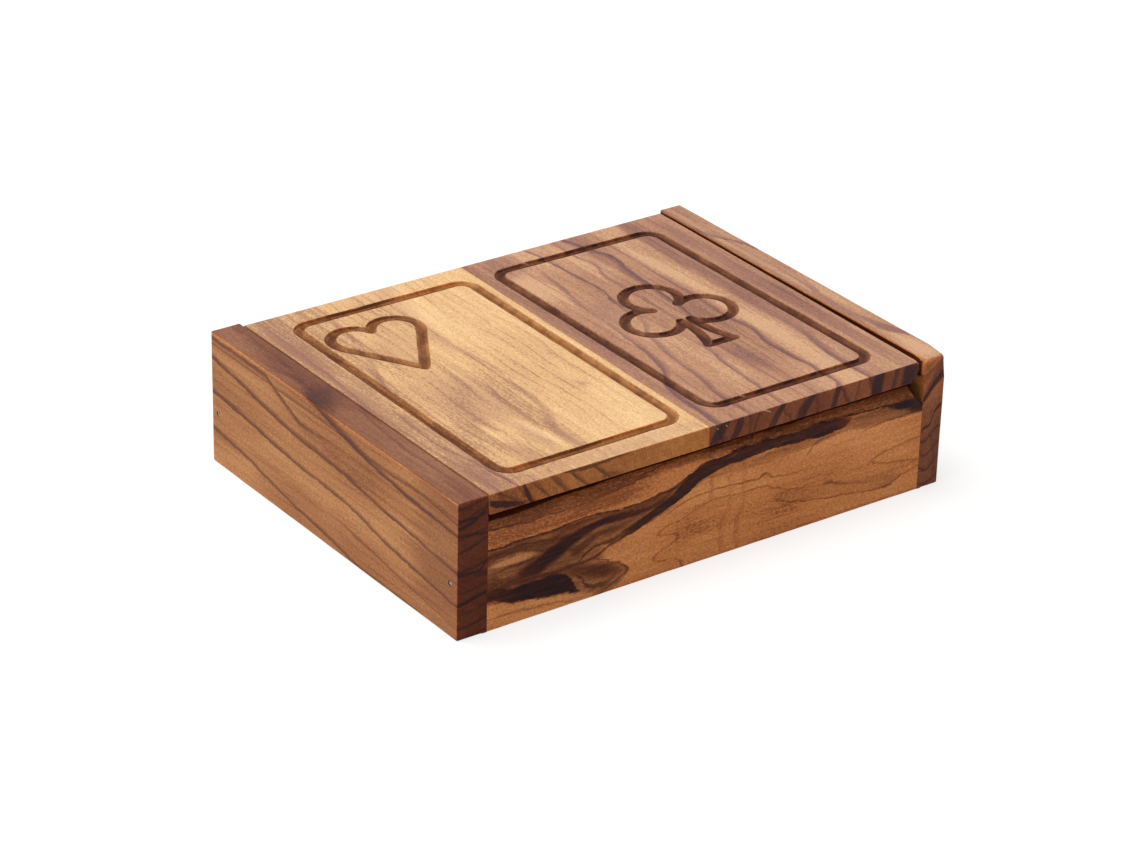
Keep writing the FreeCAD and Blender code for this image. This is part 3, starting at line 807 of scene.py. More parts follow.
# Finishes
@dataclass(frozen=True)
class Vein:
    """A dark line of heartwood that shows on a face and runs on through the board.

    Attributes:
        path: points of the line in rising order: along and across the face, half-width,
            strength from 0 to 1. A point without the last two keeps those of the one before.
        bleed: 1 where its soft side is the one further across, -1 where it is the nearer, and
            0 for a band that is as crisp on both sides.
        tilt: how far it moves across for each millimetre into the board.
        face: the face that it is drawn on. None takes the finish's own face.
        fade: how much of the half-width the rims of a band take up.
    """

    path: tuple[tuple[float, ...], ...]
    bleed: int = 1
    tilt: float = 0.0
    face: Optional[Face] = None
    fade: float = 0.3

    def points(self) -> list[tuple[float, ...]]:
        """The points of the line, each with all its four numbers."""
        full = []
        for point in self.path:
            full.append(point if len(point) > 2 else (*point, *full[-1][2:]))
        return full


def band(path: tuple[tuple[float, ...], ...], tilt: float = 0.0, face: Optional[Face] = None,
         fade: float = 0.3) -> Vein:
    """A vein that is as crisp on both sides.

    Args:
        path: see Vein, as are the others.
        tilt: how far it moves across with depth.
        face: the face that it is drawn on.
        fade: how much of the half-width its rims take up.

    Returns:
        The vein.
    """
    return Vein(path, 0, tilt, face, fade)


@dataclass(frozen=True)
class Smudge:
    """A stain of dark or pale wood with uneven rims.

    Attributes:
        centre: its middle, along and across the face.
        spread: its half-length and its half-width.
        turn: degrees from along the face towards across it.
        strength: from 0 to 1.
    """

    centre: tuple[float, float]
    spread: tuple[float, float]
    turn: float = 0.0
    strength: float = 1.0


@dataclass(frozen=True)
class Waves:
    """A noise that is drawn out along the fibres.

    Attributes:
        along: waves for each millimetre along the fibres.
        across: the same across them.
        detail: how many finer noises lie over the first.
        roughness: how strong the finer ones are.
    """

    along: float
    across: float
    detail: float = 2.0
    roughness: float = 0.5

    def over(self, graph: Graph, along: Signal, cross: Sequence[Signal],
             ) -> tuple[Signal, Signal, Signal]:
        """Three of these noises.

        Args:
            graph: the material's nodes.
            along: the place along the fibres.
            cross: the two places across them.

        Returns:
            The three noises.
        """
        place = (along * self.along, cross[0] * self.across, cross[1] * self.across)
        return graph.noise(place, self.detail, self.roughness)


# The largest half-width of a vein, in millimetres, unless it is the same all along.
WIDEST_VEIN = 12.0
# Where plain wood lies between its pale tone at 0 and its dark one at 1, and where each of its
# three tones is reached.
MIDDLE_TONE = 0.42
TONE_STOPS = (0.12, 0.5, 0.88)
# Tones show their own colour, and casts are what they leave of the colour underneath.
# The rubbed cast is partly the paler wood of worn arrises and partly a painted highlight along
# them.
RUBBED_HIGHLIGHT_CAST = (1.35, 1.02, 0.74)
SCRATCH_TONE = (0.66, 0.44, 0.30)
BARE_TONE = (0.60, 0.38, 0.22)
# The next cast is painted shade under the lid's front edge and in the narrow gap beside the lid;
# it also darkens a line along the chip's rim.
PAINTED_SHADE_CAST = (0.17, 0.085, 0.065)
SCORCH_CAST = (0.70, 0.63, 0.62)

SLOW = Waves(0.022, 0.075)
QUICK = Waves(0.11, 0.32)
FRAYED = Waves(0.22, 0.9, 4.0, 0.7)
FIBRES = Waves(0.09, 2.3, 3.0, 0.62)
GRAINS = Waves(0.9, 3.4, 2.0, 0.6)
STREAKS = Waves(0.03, 0.62, 2.0, 0.55)
FLECKS = Waves(0.8, 1.7, 3.0, 0.7)
PORES = Waves(0.7, 5.5, 1.0)


@dataclass(frozen=True)
class OliveWood:
    """Oiled olive wood with a figure of its own.

    Attributes:
        name: the material's name.
        face: the face that the figure is drawn on.
        surface: where that face lies on its through axis.
        grain: the way that the fibres run.
        tones: pale, middle and dark plain wood.
        vein_tone: the darkest wood.
        end_tone: the darkest wood on the end grain.
        vein_cast: what faint veins keep of the wood's colour.
        shade_tone: what the shaded wood keeps of its colour.
        veins: its dark lines.
        shades: its bands of brown wood.
        ends: dark lines and bands that show on the end grain only.
        stains: its dark stains.
        lights: its pale stains.
        scratches: pale scratches across the end grain.
        wander: how far fine waves bend the figure, in millimetres.
        fray: how ragged the figure's edges are, in millimetres.
        speckle: how strongly the fine pores mottle the wood.
        ring_spacing: between growth lines, in millimetres.
        ring_waves: how far the growth lines swing, in millimetres.
        ring_strength: how dark the growth lines are.
        arch: for growth lines that nest about a point, the point along and across the face,
            and how many times longer than wide each of them is.
        contrast: how far the plain wood varies between its tones.
        swell: points of a curve across the face: the place, and how much darker (or, below
            zero, paler) the plain wood is there.
        seed: shifts the noise, so that no two boards match.
        routed: whether the board carries routed grooves.
        burnt: what the grooves' sides and their bottoms keep of the wood's colour.
        roughness: of the oiled surface.
        sheen: the specular level of the oiled surface.
        tints: a face's axis and the colour that darkens the faces square to it.
        indoors: an axis, where along it the weathered colour begins to fade and where it has
            gone, and what the sheltered wood keeps of the colour.
    """

    name: str
    face: Face
    surface: float
    grain: Grain
    tones: tuple[Colour, Colour, Colour]
    vein_tone: Colour
    end_tone: Colour = (0.045, 0.013, 0.015)
    vein_cast: Colour = (0.60, 0.42, 0.36)
    shade_tone: Colour = (0.20, 0.18, 0.27)
    veins: tuple[Vein, ...] = ()
    shades: tuple[Vein, ...] = ()
    ends: tuple[Vein, ...] = ()
    stains: tuple[Smudge, ...] = ()
    lights: tuple[Smudge, ...] = ()
    scratches: tuple[Vein, ...] = ()
    wander: float = 1.0
    fray: float = 1.6
    speckle: float = 0.75
    ring_spacing: float = 3.0
    ring_waves: float = 3.0
    ring_strength: float = 0.25
    arch: Optional[tuple[float, float, float]] = None
    contrast: float = 0.5
    swell: tuple[tuple[float, float], ...] = ()
    seed: float = 0.0
    routed: bool = False
    burnt: tuple[Colour, Colour] = ((0.68, 0.50, 0.34), (0.42, 0.34, 0.32))
    roughness: float = 0.5
    sheen: float = 0.14
    tints: tuple[tuple[int, Colour], ...] = ()
    indoors: Optional[tuple[int, float, float, Colour]] = None

    def build(self) -> bpy.types.Material:
        """Make the material.

        Returns:
            The material, on the box's own coordinates.
        """
        graph = Graph(self.name)
        place = graph.place()
        along = place[self.grain.value] + self.seed
        cross = [place[axis] for axis in range(3) if axis != self.grain.value]
        slow, quick, fray = (waves.over(graph, along, cross) for waves in (SLOW, QUICK, FRAYED))
        bend = slow[0].sway(2.6 * self.wander) + quick[0].sway(1.1 * self.wander)
        bend = bend + fray[0].sway(self.fray)
        fibre, grain, streak, fleck, pores = (
            waves.over(graph, along, cross) for waves in (FIBRES, GRAINS, STREAKS, FLECKS, PORES))
        pores = pores[0].step(0.66, 0.78)

        rings = self.growth_lines(graph, place, slow, quick)
        dark = self.darkness(graph, place, bend, streak[1], fibre[1])
        dark = dark * fray[2].step(0.25, 0.55, 0.88, 1.0)
        tone = slow[1].sway(1.9 * self.contrast) + streak[0].sway(0.9 * self.contrast)
        tone = tone + fibre[0].sway(0.9 * self.contrast) + rings * self.ring_strength
        tone = tone + grain[0].sway(1.5 * self.contrast) + MIDDLE_TONE
        tone = tone + fleck[0].sway(1.5 * self.contrast)
        if self.swell:
            tone = tone + (place[self.face.value[1]] + bend * 1.5).follow(self.swell, -0.6, 0.6)
        light = self.smudges(graph, place, self.lights, bend, streak[1])
        tone = tone - light
        colour = graph.ramp(tone, tuple(zip(TONE_STOPS, self.tones)))
        facing = [axis.size().step(0.45, 0.8) for axis in graph.normal()]
        end_grain = facing[self.grain.value]
        if self.shades:
            shade = self.strongest(graph, place, self.shades, bend)
            shade = shade * (light * 1.5).step(1.0, 0.2)
            shade = shade * streak[1].step(0.25, 0.6, 0.85, 1.0) * fray[1].step(0.3, 0.6, 0.7, 1.0)
            colour = graph.mix(shade, colour, self.shade_tone, "MULTIPLY")
        colour = graph.mix(dark ** 0.6, colour, self.vein_cast, "MULTIPLY")
        colour = graph.mix(dark ** 1.5, colour, self.vein_tone)
        for axis, tint in self.tints:
            colour = graph.mix(facing[axis], colour, tint, "MULTIPLY")
        if self.indoors:
            axis, start, end, tint = self.indoors
            colour = graph.mix(place[axis].step(start, end), colour, tint, "MULTIPLY")
        if self.ends:
            dark_ends = self.strongest(graph, place, self.ends, bend * 0.3)
            dark_ends = dark_ends * end_grain * fleck[1].step(0.3, 0.6, 0.85, 1.0)
            colour = graph.mix(dark_ends, colour, self.end_tone)
        if self.scratches:
            scratched = self.strongest(graph, place, self.scratches, bend * 0.1) * end_grain
            colour = graph.mix(scratched, colour, SCRATCH_TONE)
        speck = graph.noise(tuple(axis * 1.6 for axis in place), 2.0, 0.6)[0] - 0.5
        speck = speck * (end_grain * 0.4 + self.speckle) + 1.0
        colour = graph.mix(1.0, colour, graph.vector(speck, speck, speck), "MULTIPLY")
        colour = graph.mix(pores * 0.35, colour, tuple(0.45 * part for part in self.tones[2]))
        colour = self.wear(graph, colour, facing[2], slow[2], fibre[2])

        relief = fibre[2] * 0.4 + grain[1] * 0.25 + pores.inverse() * 0.4
        roughness = fibre[1] * 0.16 + (self.roughness - 0.08) + end_grain * 0.12
        graph.shader.inputs["Specular IOR Level"].default_value = self.sheen
        if self.routed:
            colour, roughness = self.burnish(graph, place, colour, roughness, fibre[0])
        return graph.finish(colour, roughness, relief, 0.12, 0.35)

    def growth_lines(self, graph: Graph, place: Sequence[Signal], slow: Sequence[Signal],
                     quick: Sequence[Signal]) -> Signal:
        """Fine lines that darken slowly and end sharply, as a season's growth does: the
        fraction of the place across the grain over the spacing, to the fifth power.

        Args:
            graph: the material's nodes.
            place: the place on the box.
            slow: noises that swing the lines widely.
            quick: noises that swing them finely.

        Returns:
            How dark the lines are.
        """
        along, across, through = self.face.value
        drift = place[across] + place[through] * 0.45
        if self.arch:
            reach = (place[along] - self.arch[0]) / self.arch[2]
            rise = drift - self.arch[1]
            drift = graph.math("SQRT", reach * reach + rise * rise)
        drift = drift + slow[2].sway(4.0 * self.ring_waves)
        drift = drift + quick[2].sway(0.6 * self.ring_waves)
        return (drift / self.ring_spacing).fraction() ** 5.0 * slow[1].step(0.3, 0.6, 0.4, 1.0)

    def darkness(self, graph: Graph, place: Sequence[Signal], bend: Signal, streak: Signal,
                 fibre: Signal) -> Signal:
        """How much of the darkest wood shows: the strongest vein or stain at each place.

        Args:
            graph: the material's nodes.
            place: the place on the box.
            bend: how far fine waves bend the figure.
            streak: a noise of long streaks.
            fibre: a noise of fine fibres.

        Returns:
            A number from 0 to 1.
        """
        dark = self.strongest(graph, place, self.veins, bend)
        dark = dark * (streak.step(0.25, 0.6, 0.92, 1.0) * fibre.step(0.3, 0.6, 0.92, 1.0))
        if self.stains:
            dark = dark.larger(self.smudges(graph, place, self.stains, bend, streak))
        return dark

    def strongest(self, graph: Graph, place: Sequence[Signal], veins: Sequence[Vein],
                  bend: Signal) -> Signal:
        """The strongest of some veins at each place.

        Args:
            graph: the material's nodes.
            place: the place on the box.
            veins: the veins.
            bend: how far fine waves bend them.

        Returns:
            A number from 0 to 1.
        """
        bent = [axis + bend for axis in place]
        dark = graph.math("ADD", 0.0, 0.0)
        for vein in veins:
            dark = dark.larger(self.vein(bent, vein))
        return dark

    def vein(self, place: Sequence[Signal], vein: Vein) -> Signal:
        """One vein: full in its middle, with a sharp and a soft side, or with two alike.

        Args:
            place: the place on the box, bent by fine waves.
            vein: the vein.

        Returns:
            How strongly it shows.
        """
        along, across, through = (place[axis] for axis in (vein.face or self.face).value)
        points = vein.points()
        heights = [point[1] for point in points]
        middle = along.follow([point[:2] for point in points], min(heights) - 1, max(heights) + 1)
        width, strength = (
            along.follow([(point[0], point[column]) for point in points], 0.0, most)
            if len({point[column] for point in points}) > 1 else points[0][column]
            for column, most in ((2, WIDEST_VEIN), (3, 1.0)))
        if vein.tilt:
            depth = (through - self.surface).size()
            middle = middle + depth * vein.tilt
        away = (across - middle) / width
        if not vein.bleed:
            return away.size().step(1 + vein.fade, 1 - vein.fade) * strength
        away = away * float(vein.bleed)
        return away.step(-0.75, -0.1) * away.step(1.9, 0.0) * strength

    def smudges(self, graph: Graph, place: Sequence[Signal], smudges: Sequence[Smudge],
                bend: Signal, streak: Signal) -> Signal:
        """The strongest of some stains: each an oval with rims that follow the streaks.

        Args:
            graph: the material's nodes.
            place: the place on the box.
            smudges: the stains.
            bend: how far fine waves bend them.
            streak: a noise of long streaks.

        Returns:
            A number from 0 to 1.
        """
        along_axis, across_axis, _ = self.face.value
        total = graph.math("ADD", 0.0, 0.0)
        for smudge in smudges:
            cosine, sine = math.cos(math.radians(smudge.turn)), math.sin(math.radians(smudge.turn))
            along = place[along_axis] - smudge.centre[0] + bend * 1.5
            across = place[across_axis] - smudge.centre[1] + bend
            long = (along * cosine + across * sine) / smudge.spread[0]
            wide = (across * cosine - along * sine) / smudge.spread[1]
            radius = graph.math("SQRT", long * long + wide * wide) + streak.sway(1.6)
            total = total.larger(radius.step(1.15, 0.45) * smudge.strength)
        return total

    def wear(self, graph: Graph, colour: bpy.types.NodeSocket, upward: Signal, slow: Signal,
             fibre: Signal) -> bpy.types.NodeSocket:
        """The oiled glow of rubbed arrises, the pale wood of chips, and the dirt that gathers
        in narrow gaps.

        Args:
            graph: the material's nodes.
            colour: the wood's colour.
            upward: whether the surface looks up or down.
            slow: a noise that varies the rubbing.
            fibre: a noise that frays the chips and the painted shade.

        Returns:
            The worn colour.
        """
        # Painted highlight, over the paler wood of rubbed arrises, on faces that look neither up
        # nor down.
        rub_and_highlight = graph.attribute("rub_and_highlight") * upward.inverse() * slow.step(0.25, 0.6, 0.25, 0.65)
        colour = graph.mix(rub_and_highlight, colour, RUBBED_HIGHLIGHT_CAST, "MULTIPLY")
        bare = graph.attribute("bare").step(0.3, 0.65) * fibre.step(0.2, 0.6, 0.5, 0.9)
        colour = graph.mix(bare * 0.5, colour, BARE_TONE)
        # Painted shade under the lid's front edge and in the gap beside the lid, and a dark line
        # along the chip's rim.
        painted_shade = (graph.attribute("painted_shade") + fibre.sway(0.5)).step(0.2, 0.75)
        return graph.mix(painted_shade, colour, PAINTED_SHADE_CAST, "MULTIPLY")

    def burnish(self, graph: Graph, place: Sequence[Signal], colour: bpy.types.NodeSocket,
                roughness: Signal, fibre: Signal) -> tuple[bpy.types.NodeSocket, Signal]:
        """The browned wood of the routed grooves, darkest at the bottom.

        Args:
            graph: the material's nodes.
            place: the place on the box.
            colour: the wood's colour.
            roughness: the wood's roughness.
            fibre: a noise that varies the browning.

        Returns:
            The colour and the roughness.
        """
        across_groove = graph.attribute("groove")
        inside = across_groove.step(1.08, 0.84)
        bottom = across_groove.step(0.85, 0.3) * fibre.step(0.2, 0.7, 0.75, 1.0)
        scorch = graph.noise((place[0] * 0.17, place[1] * 0.17, 3.0), 2.0)[0].step(0.45, 0.62)
        colour = graph.mix(inside, colour, self.burnt[0], "MULTIPLY")
        colour = graph.mix(bottom, colour, self.burnt[1], "MULTIPLY")
        colour = graph.mix(scorch * inside, colour, SCORCH_CAST, "MULTIPLY")
        return colour, roughness + inside * 0.1


@dataclass(frozen=True)
class DrawnSteel:
    """Plain drawn steel wire with fine lines and a trace of tarnish.

    Attributes:
        name: the material's name.
        tint: the steel's colour.
        tarnish: the colour that it dulls to.
    """

    name: str = "drawn_steel"
    tint: Colour = (0.42, 0.41, 0.39)
    tarnish: Colour = (0.16, 0.13, 0.10)

    def build(self) -> bpy.types.Material:
        """Make the material."""
        graph = Graph(self.name)
        place = graph.place()
        drawn = graph.noise((place[0] * 0.4, place[1] * 9.0, place[2] * 9.0), 2.0)
        dull = graph.noise(tuple(axis * 1.3 for axis in place), 3.0)[0].step(0.42, 0.62)
        colour = graph.mix(dull * 0.7, self.tint, self.tarnish)
        graph.shader.inputs["Metallic"].default_value = 1.0
        return graph.finish(colour, drawn[0] * 0.2 + dull * 0.25 + 0.25, drawn[1], 0.02, 0.3)


# The box
@dataclass(frozen=True)
class Nick:
    """A small chip out of an arris, which bares pale wood.

    Attributes:
        centre: its middle on the box.
        radius: how wide it is.
        push: how far and which way its middle is knocked in.
    """

    centre: tuple[float, float, float]
    radius: float
    push: tuple[float, float, float]


def knock(points: np.ndarray, nicks: Sequence[Nick]) -> tuple[np.ndarray, np.ndarray]:
    """Knock chips out of a piece: each point is pushed by a bell curve of its distance from
    the chip's middle.

    Args:
        points: places on the piece's skin.
        nicks: the chips.

    Returns:
        The moved points, and how bare each point is from 0 to 1.
    """
    bare = np.zeros(len(points))
    for nick in nicks:
        spread = np.linalg.norm(points - np.array(nick.centre), axis=1) / nick.radius
        bell = np.exp(-spread ** 2)
        bare = np.maximum(bare, bell)
        points = points + bell[:, None] * np.array(nick.push)
    return points, bare


def install(piece: bpy.types.Object, node: str, body: str, slot: str,
            material: bpy.types.Material) -> None:
    """Dress a piece, stand it in for its CAD node and let it ride on its body.

    Args:
        piece: the piece.
        node: the CAD node that it stands in for.
        body: the body that carries it.
        slot: the name of its material slot; not used.
        material: its finish.
    """
    piece.data.materials.append(material)
    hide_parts(node)
    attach(piece, body)
    log.info("%s: %d faces", piece.name, len(piece.data.polygons))


@dataclass(frozen=True)
class SideWall:
    """A side wall: it covers the ends of the front and back walls, and holds a hinge pin.

    Attributes:
        node: the CAD node that it stands for.
        inner: 1 where its inner face looks right, -1 where it looks left.
        wood: its finish.
        nicks: chips out of its arrises.
        arris: how far its arrises are rubbed down.
        worn: how far the arris over its front end is rubbed down.
        rebate_depth: the floor's rebate, into the wall.
        rebate_height: the same rebate, upwards.
        rebate_start: from the wall's front end to the rebate, and from its back end.
        rim: the height of the front wall beside it.
        pin_bore: radius and depth of the hinge pin's bore.
        pin_place: the bore's middle, from the front and up.
        brad_seats: radius and depth of the recesses over the brads' heads.
        brads: the middle of each recess, from the front and up.
    """

    node: str
    inner: int
    wood: OliveWood
    nicks: tuple[Nick, ...] = ()
    arris: float = 0.5
    worn: float = 0.5
    rebate_depth: float = 3.4
    rebate_height: float = 4.0
    rebate_start: float = 3.2
    rim: float = 33.6
    pin_bore: tuple[float, float] = (1.15, 5.0)
    pin_place: tuple[float, float] = (117.05, 36.55)
    brad_seats: tuple[float, float] = (0.85, 0.45)
    brads: tuple[tuple[float, float], ...] = ((3.3, 15.5), (116.7, 15.5))

    def span(self, low: np.ndarray, high: np.ndarray, start: float, end: float,
             ) -> tuple[float, float]:
        """A stretch across the wall.

        Args:
            low, high: the wall's lowest and highest corner.
            start: the stretch's start, from the outer face.
            end: its end, from the outer face.

        Returns:
            Its lower and its upper place, from the left.
        """
        if self.inner > 0:
            return low[0] + start, low[0] + end
        return high[0] - end, high[0] - start

    def build(self) -> bpy.types.Object:
        """Make the wall.

        Returns:
            The wall's object.
        """
        low, high = node_box(self.node)
        thickness = high[0] - low[0]
        rebate = self.span(low, high, thickness - self.rebate_depth, thickness)
        bore = self.span(low, high, thickness - self.pin_bore[1], thickness)
        seat = self.span(low, high, 0, self.brad_seats[1])
        rounds = [(self.pin_place, self.pin_bore[0])]
        rounds += [(place, self.brad_seats[0]) for place in self.brads]
        marks = [[], [], []]
        marks[0] += [*rebate, *bore, *seat, *arris_lines(low[0], high[0], self.arris)]
        marks[1] += [low[1] + self.rebate_start, high[1] - self.rebate_start,
                     *arris_lines(low[1], high[1], self.arris)]
        marks[2] += [self.rebate_height, self.rim, *arris_lines(low[2], high[2], self.arris)]
        shares = np.linspace(0.2, 1.0, 5) * self.worn
        edges = ((low[0] + shares, high[0] - shares),
                 (low[1] + shares, low[1] + self.worn + [0.4, 1, 3, 5]),
                 (high[2] - shares, high[2] - self.worn - [1, 3, 5]))
        for axis_marks, axis_edges in zip(marks, edges):
            axis_marks += list(np.concatenate(axis_edges))
        for centre, radius in rounds:
            for axis, middle in zip((1, 2), centre):
                marks[axis] += [middle + radius * share for share in (-1, -0.42, 0, 0.42, 1)]
        lines = [ruled_lines(start, end, PLAIN_STEP, extra=axis_marks)
                 for start, end, axis_marks in zip(low, high, marks)]
        cuts = [((rebate[0], low[1] + self.rebate_start, low[2]),
                 (rebate[1], high[1] - self.rebate_start, self.rebate_height))]
        cuts += [((depth[0], centre[0] - radius, centre[1] - radius),
                  (depth[1], centre[0] + radius, centre[1] + radius))
                 for (centre, radius), depth in zip(rounds, (bore, seat, seat))]
        points, faces = lattice_skin(lines, cuts)
        rub_and_highlight = rubbed(points, low, high, self.arris)
        points = ease_arrises(points, low, high, self.roundness(points, low, high))
        for centre, radius in rounds:
            points = round_out(points, (1, 2), centre, radius, 2.3)
        # Painted shade on the inner face, in the narrow gap beside the lid.
        painted_shade = self.painted_shade(points, low, high)
        points, bare = knock(points, self.nicks)
        return make_mesh(f"{self.node}_wood", points, faces,
                         {"rub_and_highlight": rub_and_highlight, "bare": bare, "painted_shade": painted_shade})

    def painted_shade(self, points: np.ndarray, low: np.ndarray, high: np.ndarray) -> np.ndarray:
        """Painted shade on the inner face, where the narrow gap beside the lid is dark: a film at
        its top and front, and full beside the lid, a little below the top arris and a little
        behind the front end.

        Args:
            points: places on the wall's skin.
            low, high: the wall's lowest and highest corner.

        Returns:
            A number from 0 to 1 for each point.
        """
        inner_face = high[0] if self.inner > 0 else low[0]
        on_face = np.abs(points[:, 0] - inner_face) < 0.25
        below = np.clip((high[2] - 0.2 - points[:, 2]) / 0.6, 0, 1)
        above_rim = np.clip((points[:, 2] - self.rim + 0.5) / 1.2, 0, 1)
        behind = np.clip((points[:, 1] - low[1] - 0.9) / 1.0, 0, 1)
        film = 0.3 * (points[:, 2] > 24)
        return on_face * np.maximum(below * above_rim * behind, film * below)

    def roundness(self, points: np.ndarray, low: np.ndarray, high: np.ndarray) -> np.ndarray:
        """The rounding of the arris near each point: uneven, and almost none where the wall
        meets the front and back walls.

        Args:
            points: places on the wall's skin.
            low, high: the wall's lowest and highest corner.

        Returns:
            A radius for each point.
        """
        behind = np.clip(1 - (points[:, 1] - low[1] - self.worn) / 5, 0, 1)
        beneath = np.clip(1 - (high[2] - self.worn - points[:, 2]) / 5, 0, 1)
        radius = self.arris + (self.worn - self.arris) * behind * beneath
        uneven = radius * (1 + UNEVEN * ripple(points, UNEVEN_LENGTH, 3))
        inner_face = high[0] if self.inner > 0 else low[0]
        joint = (np.abs(points[:, 0] - inner_face) < 1.5) & (points[:, 2] < self.rim + 0.01)
        return np.where(joint, 0.06, uneven)


@dataclass(frozen=True)
class EndWall:
    """The front or the back wall, let in between the side walls.

    Attributes:
        node: the CAD node that it stands for.
        wood: its finish.
        inner: 1 where its inner face looks back, -1 where it looks to the front.
        arris: how far its arrises are rubbed down.
        rebate: the floor's rebate, into the wall and upwards.
        dado: left side, right side and depth of the divider's groove.
        bevel: how far the bevel along its outer side leans in, and its height.
        lid_shade: how far up the bevel the painted shade under the lid starts, at the left and the
            right.
        chip: the rim of the corner that is broken off at the top right, as distances from the
            right end, in falling order, and heights.
    """

    node: str
    wood: OliveWood
    inner: int
    arris: float = 0.35
    rebate: tuple[float, float] = (3.4, 4.0)
    dado: tuple[float, float, float] = (78.3, 83.5, 2.0)
    bevel: tuple[float, float] = (4.4, 3.8)
    lid_shade: tuple[float, float] = (9.0, 9.0)
    chip: tuple[tuple[float, float], ...] = ()

    def build(self) -> bpy.types.Object:
        """Make the wall.

        Returns:
            The wall's object.
        """
        low, high = node_box(self.node)
        thickness = high[1] - low[1]
        outer, inner = (low[1], high[1]) if self.inner > 0 else (high[1], low[1])
        foot = high[2] - self.bevel[1]
        rebate = sorted((inner, inner - self.inner * self.rebate[0]))
        dado = sorted((inner, inner - self.inner * self.dado[2]))
        top = high[2] - low[2]
        lines = [
            ruled_lines(low[0], high[0], PLAIN_STEP,
                        [(high[0] - 7, high[0], CHIP_STEP)] if self.chip else (),
                        self.dado[:2]),
            ruled_lines(low[1], high[1], 1.1,
                        extra=[*rebate, *dado, *arris_lines(low[1], high[1], self.arris)]),
            ruled_lines(low[2], high[2], PLAIN_STEP,
                        [(foot - 6, high[2], CHIP_STEP)] if self.chip else (),
                        [self.rebate[1], foot, *arris_lines(low[2], high[2], self.arris)]),
        ]
        cuts = (((low[0], rebate[0], low[2]), (high[0], rebate[1], self.rebate[1])),
                ((self.dado[0], dado[0], self.rebate[1]), (self.dado[1], dado[1], top)))
        points, faces = lattice_skin(lines, cuts)
        ends = np.array([RUN_ON, 0, 0])
        rub_and_highlight = rubbed(points, low - ends, high + ends, self.arris)
        uneven = self.arris * (1 + UNEVEN * ripple(points, UNEVEN_LENGTH, 8))
        points = ease_arrises(points, low - ends, high + ends, uneven)
        # Painted shade on the top of the bevel, under the lid's front edge.
        start = foot + np.interp(points[:, 0], (20, 50), self.lid_shade) + 0.2 * ripple(points, 8.0, 5)
        painted_shade = np.clip((points[:, 2] - start) / 0.5, 0, 1) * (np.abs(points[:, 1] - outer) < 2)
        if self.chip:
            points, rim = self.break_off(points, low, high)
            painted_shade = np.maximum(painted_shade, rim)
        points = self.slope(points, outer, thickness, foot)
        return make_mesh(f"{self.node}_wood", points, faces, {"rub_and_highlight": rub_and_highlight, "painted_shade": painted_shade})

    def break_off(self, points: np.ndarray, low: np.ndarray, high: np.ndarray,
                  ) -> tuple[np.ndarray, np.ndarray]:
        """Break off the corner at the top right: each upright row of points is pressed down
        under the chip's rim, less and less towards the inner face.

        Args:
            points: places on the wall's skin.
            low, high: the wall's lowest and highest corner.

        Returns:
            The moved points, and how far the dark line along the rim covers each of them.
        """
        ways = [high[0] - way for way, _ in self.chip]
        heights = [height for _, height in self.chip]
        inward = np.clip((low[1] + 6.4 - points[:, 1]) / 1.6, 0, 1)
        rim = high[2] - (high[2] - np.interp(points[:, 0], ways, heights)) * inward
        base = heights[-1] - 2.5
        share = np.clip((points[:, 2] - base) / (high[2] - base), 0, None)
        moved = points.copy()
        moved[:, 2] = np.where(share > 0, base + share * (rim - base), points[:, 2])
        beside = moved[:, 0] - np.interp(moved[:, 2], heights[::-1], ways[::-1])
        return moved, np.clip((beside + 0.9) / 0.4, 0, 1) * (moved[:, 2] > heights[-1] - 0.8)

    def slope(self, points: np.ndarray, outer: float, thickness: float,
              foot: float) -> np.ndarray:
        """Lean the outer face in above the bevel's foot: the push grows from nothing at the
        foot to the bevel's depth at the top, and fades from the outer face to the inner.

        Args:
            points: places on the wall's skin.
            outer: where the outer face lies, from the front.
            thickness: of the wall.
            foot: the height of the bevel's foot.

        Returns:
            The moved points.
        """
        rise = np.clip((points[:, 2] - foot) / self.bevel[1], 0, None)
        share = 1 - np.abs(points[:, 1] - outer) / thickness
        moved = points.copy()
        moved[:, 1] += self.inner * rise * self.bevel[0] * share
        return moved


@dataclass(frozen=True)
class BackWall(EndWall):
    """The back wall, whose top slopes down to the outside so that the open lid leans on it.

    Attributes:
        slope_start: where the slope starts, from the inner face.
        slope_drop: how far the outer side of the top lies below the inner side.
    """

    slope_start: float = 3.235
    slope_drop: float = 0.902

    def slope(self, points: np.ndarray, outer: float, thickness: float,
              foot: float) -> np.ndarray:
        """Lower the top outside the start of the slope: the drop grows evenly to the outer
        face, and fades to nothing at the bevel's foot.

        Args:
            points: places on the wall's skin.
            outer: where the outer face lies, from the front.
            thickness: of the wall.
            foot: the height below which nothing moves.

        Returns:
            The moved points.
        """
        from_inner = thickness - np.abs(points[:, 1] - outer)
        share = np.clip((from_inner - self.slope_start) / (thickness - self.slope_start), 0, 1)
        rise = np.clip((points[:, 2] - foot) / self.bevel[1], 0, None)
        moved = points.copy()
        moved[:, 2] -= self.slope_drop * share * rise
        return moved


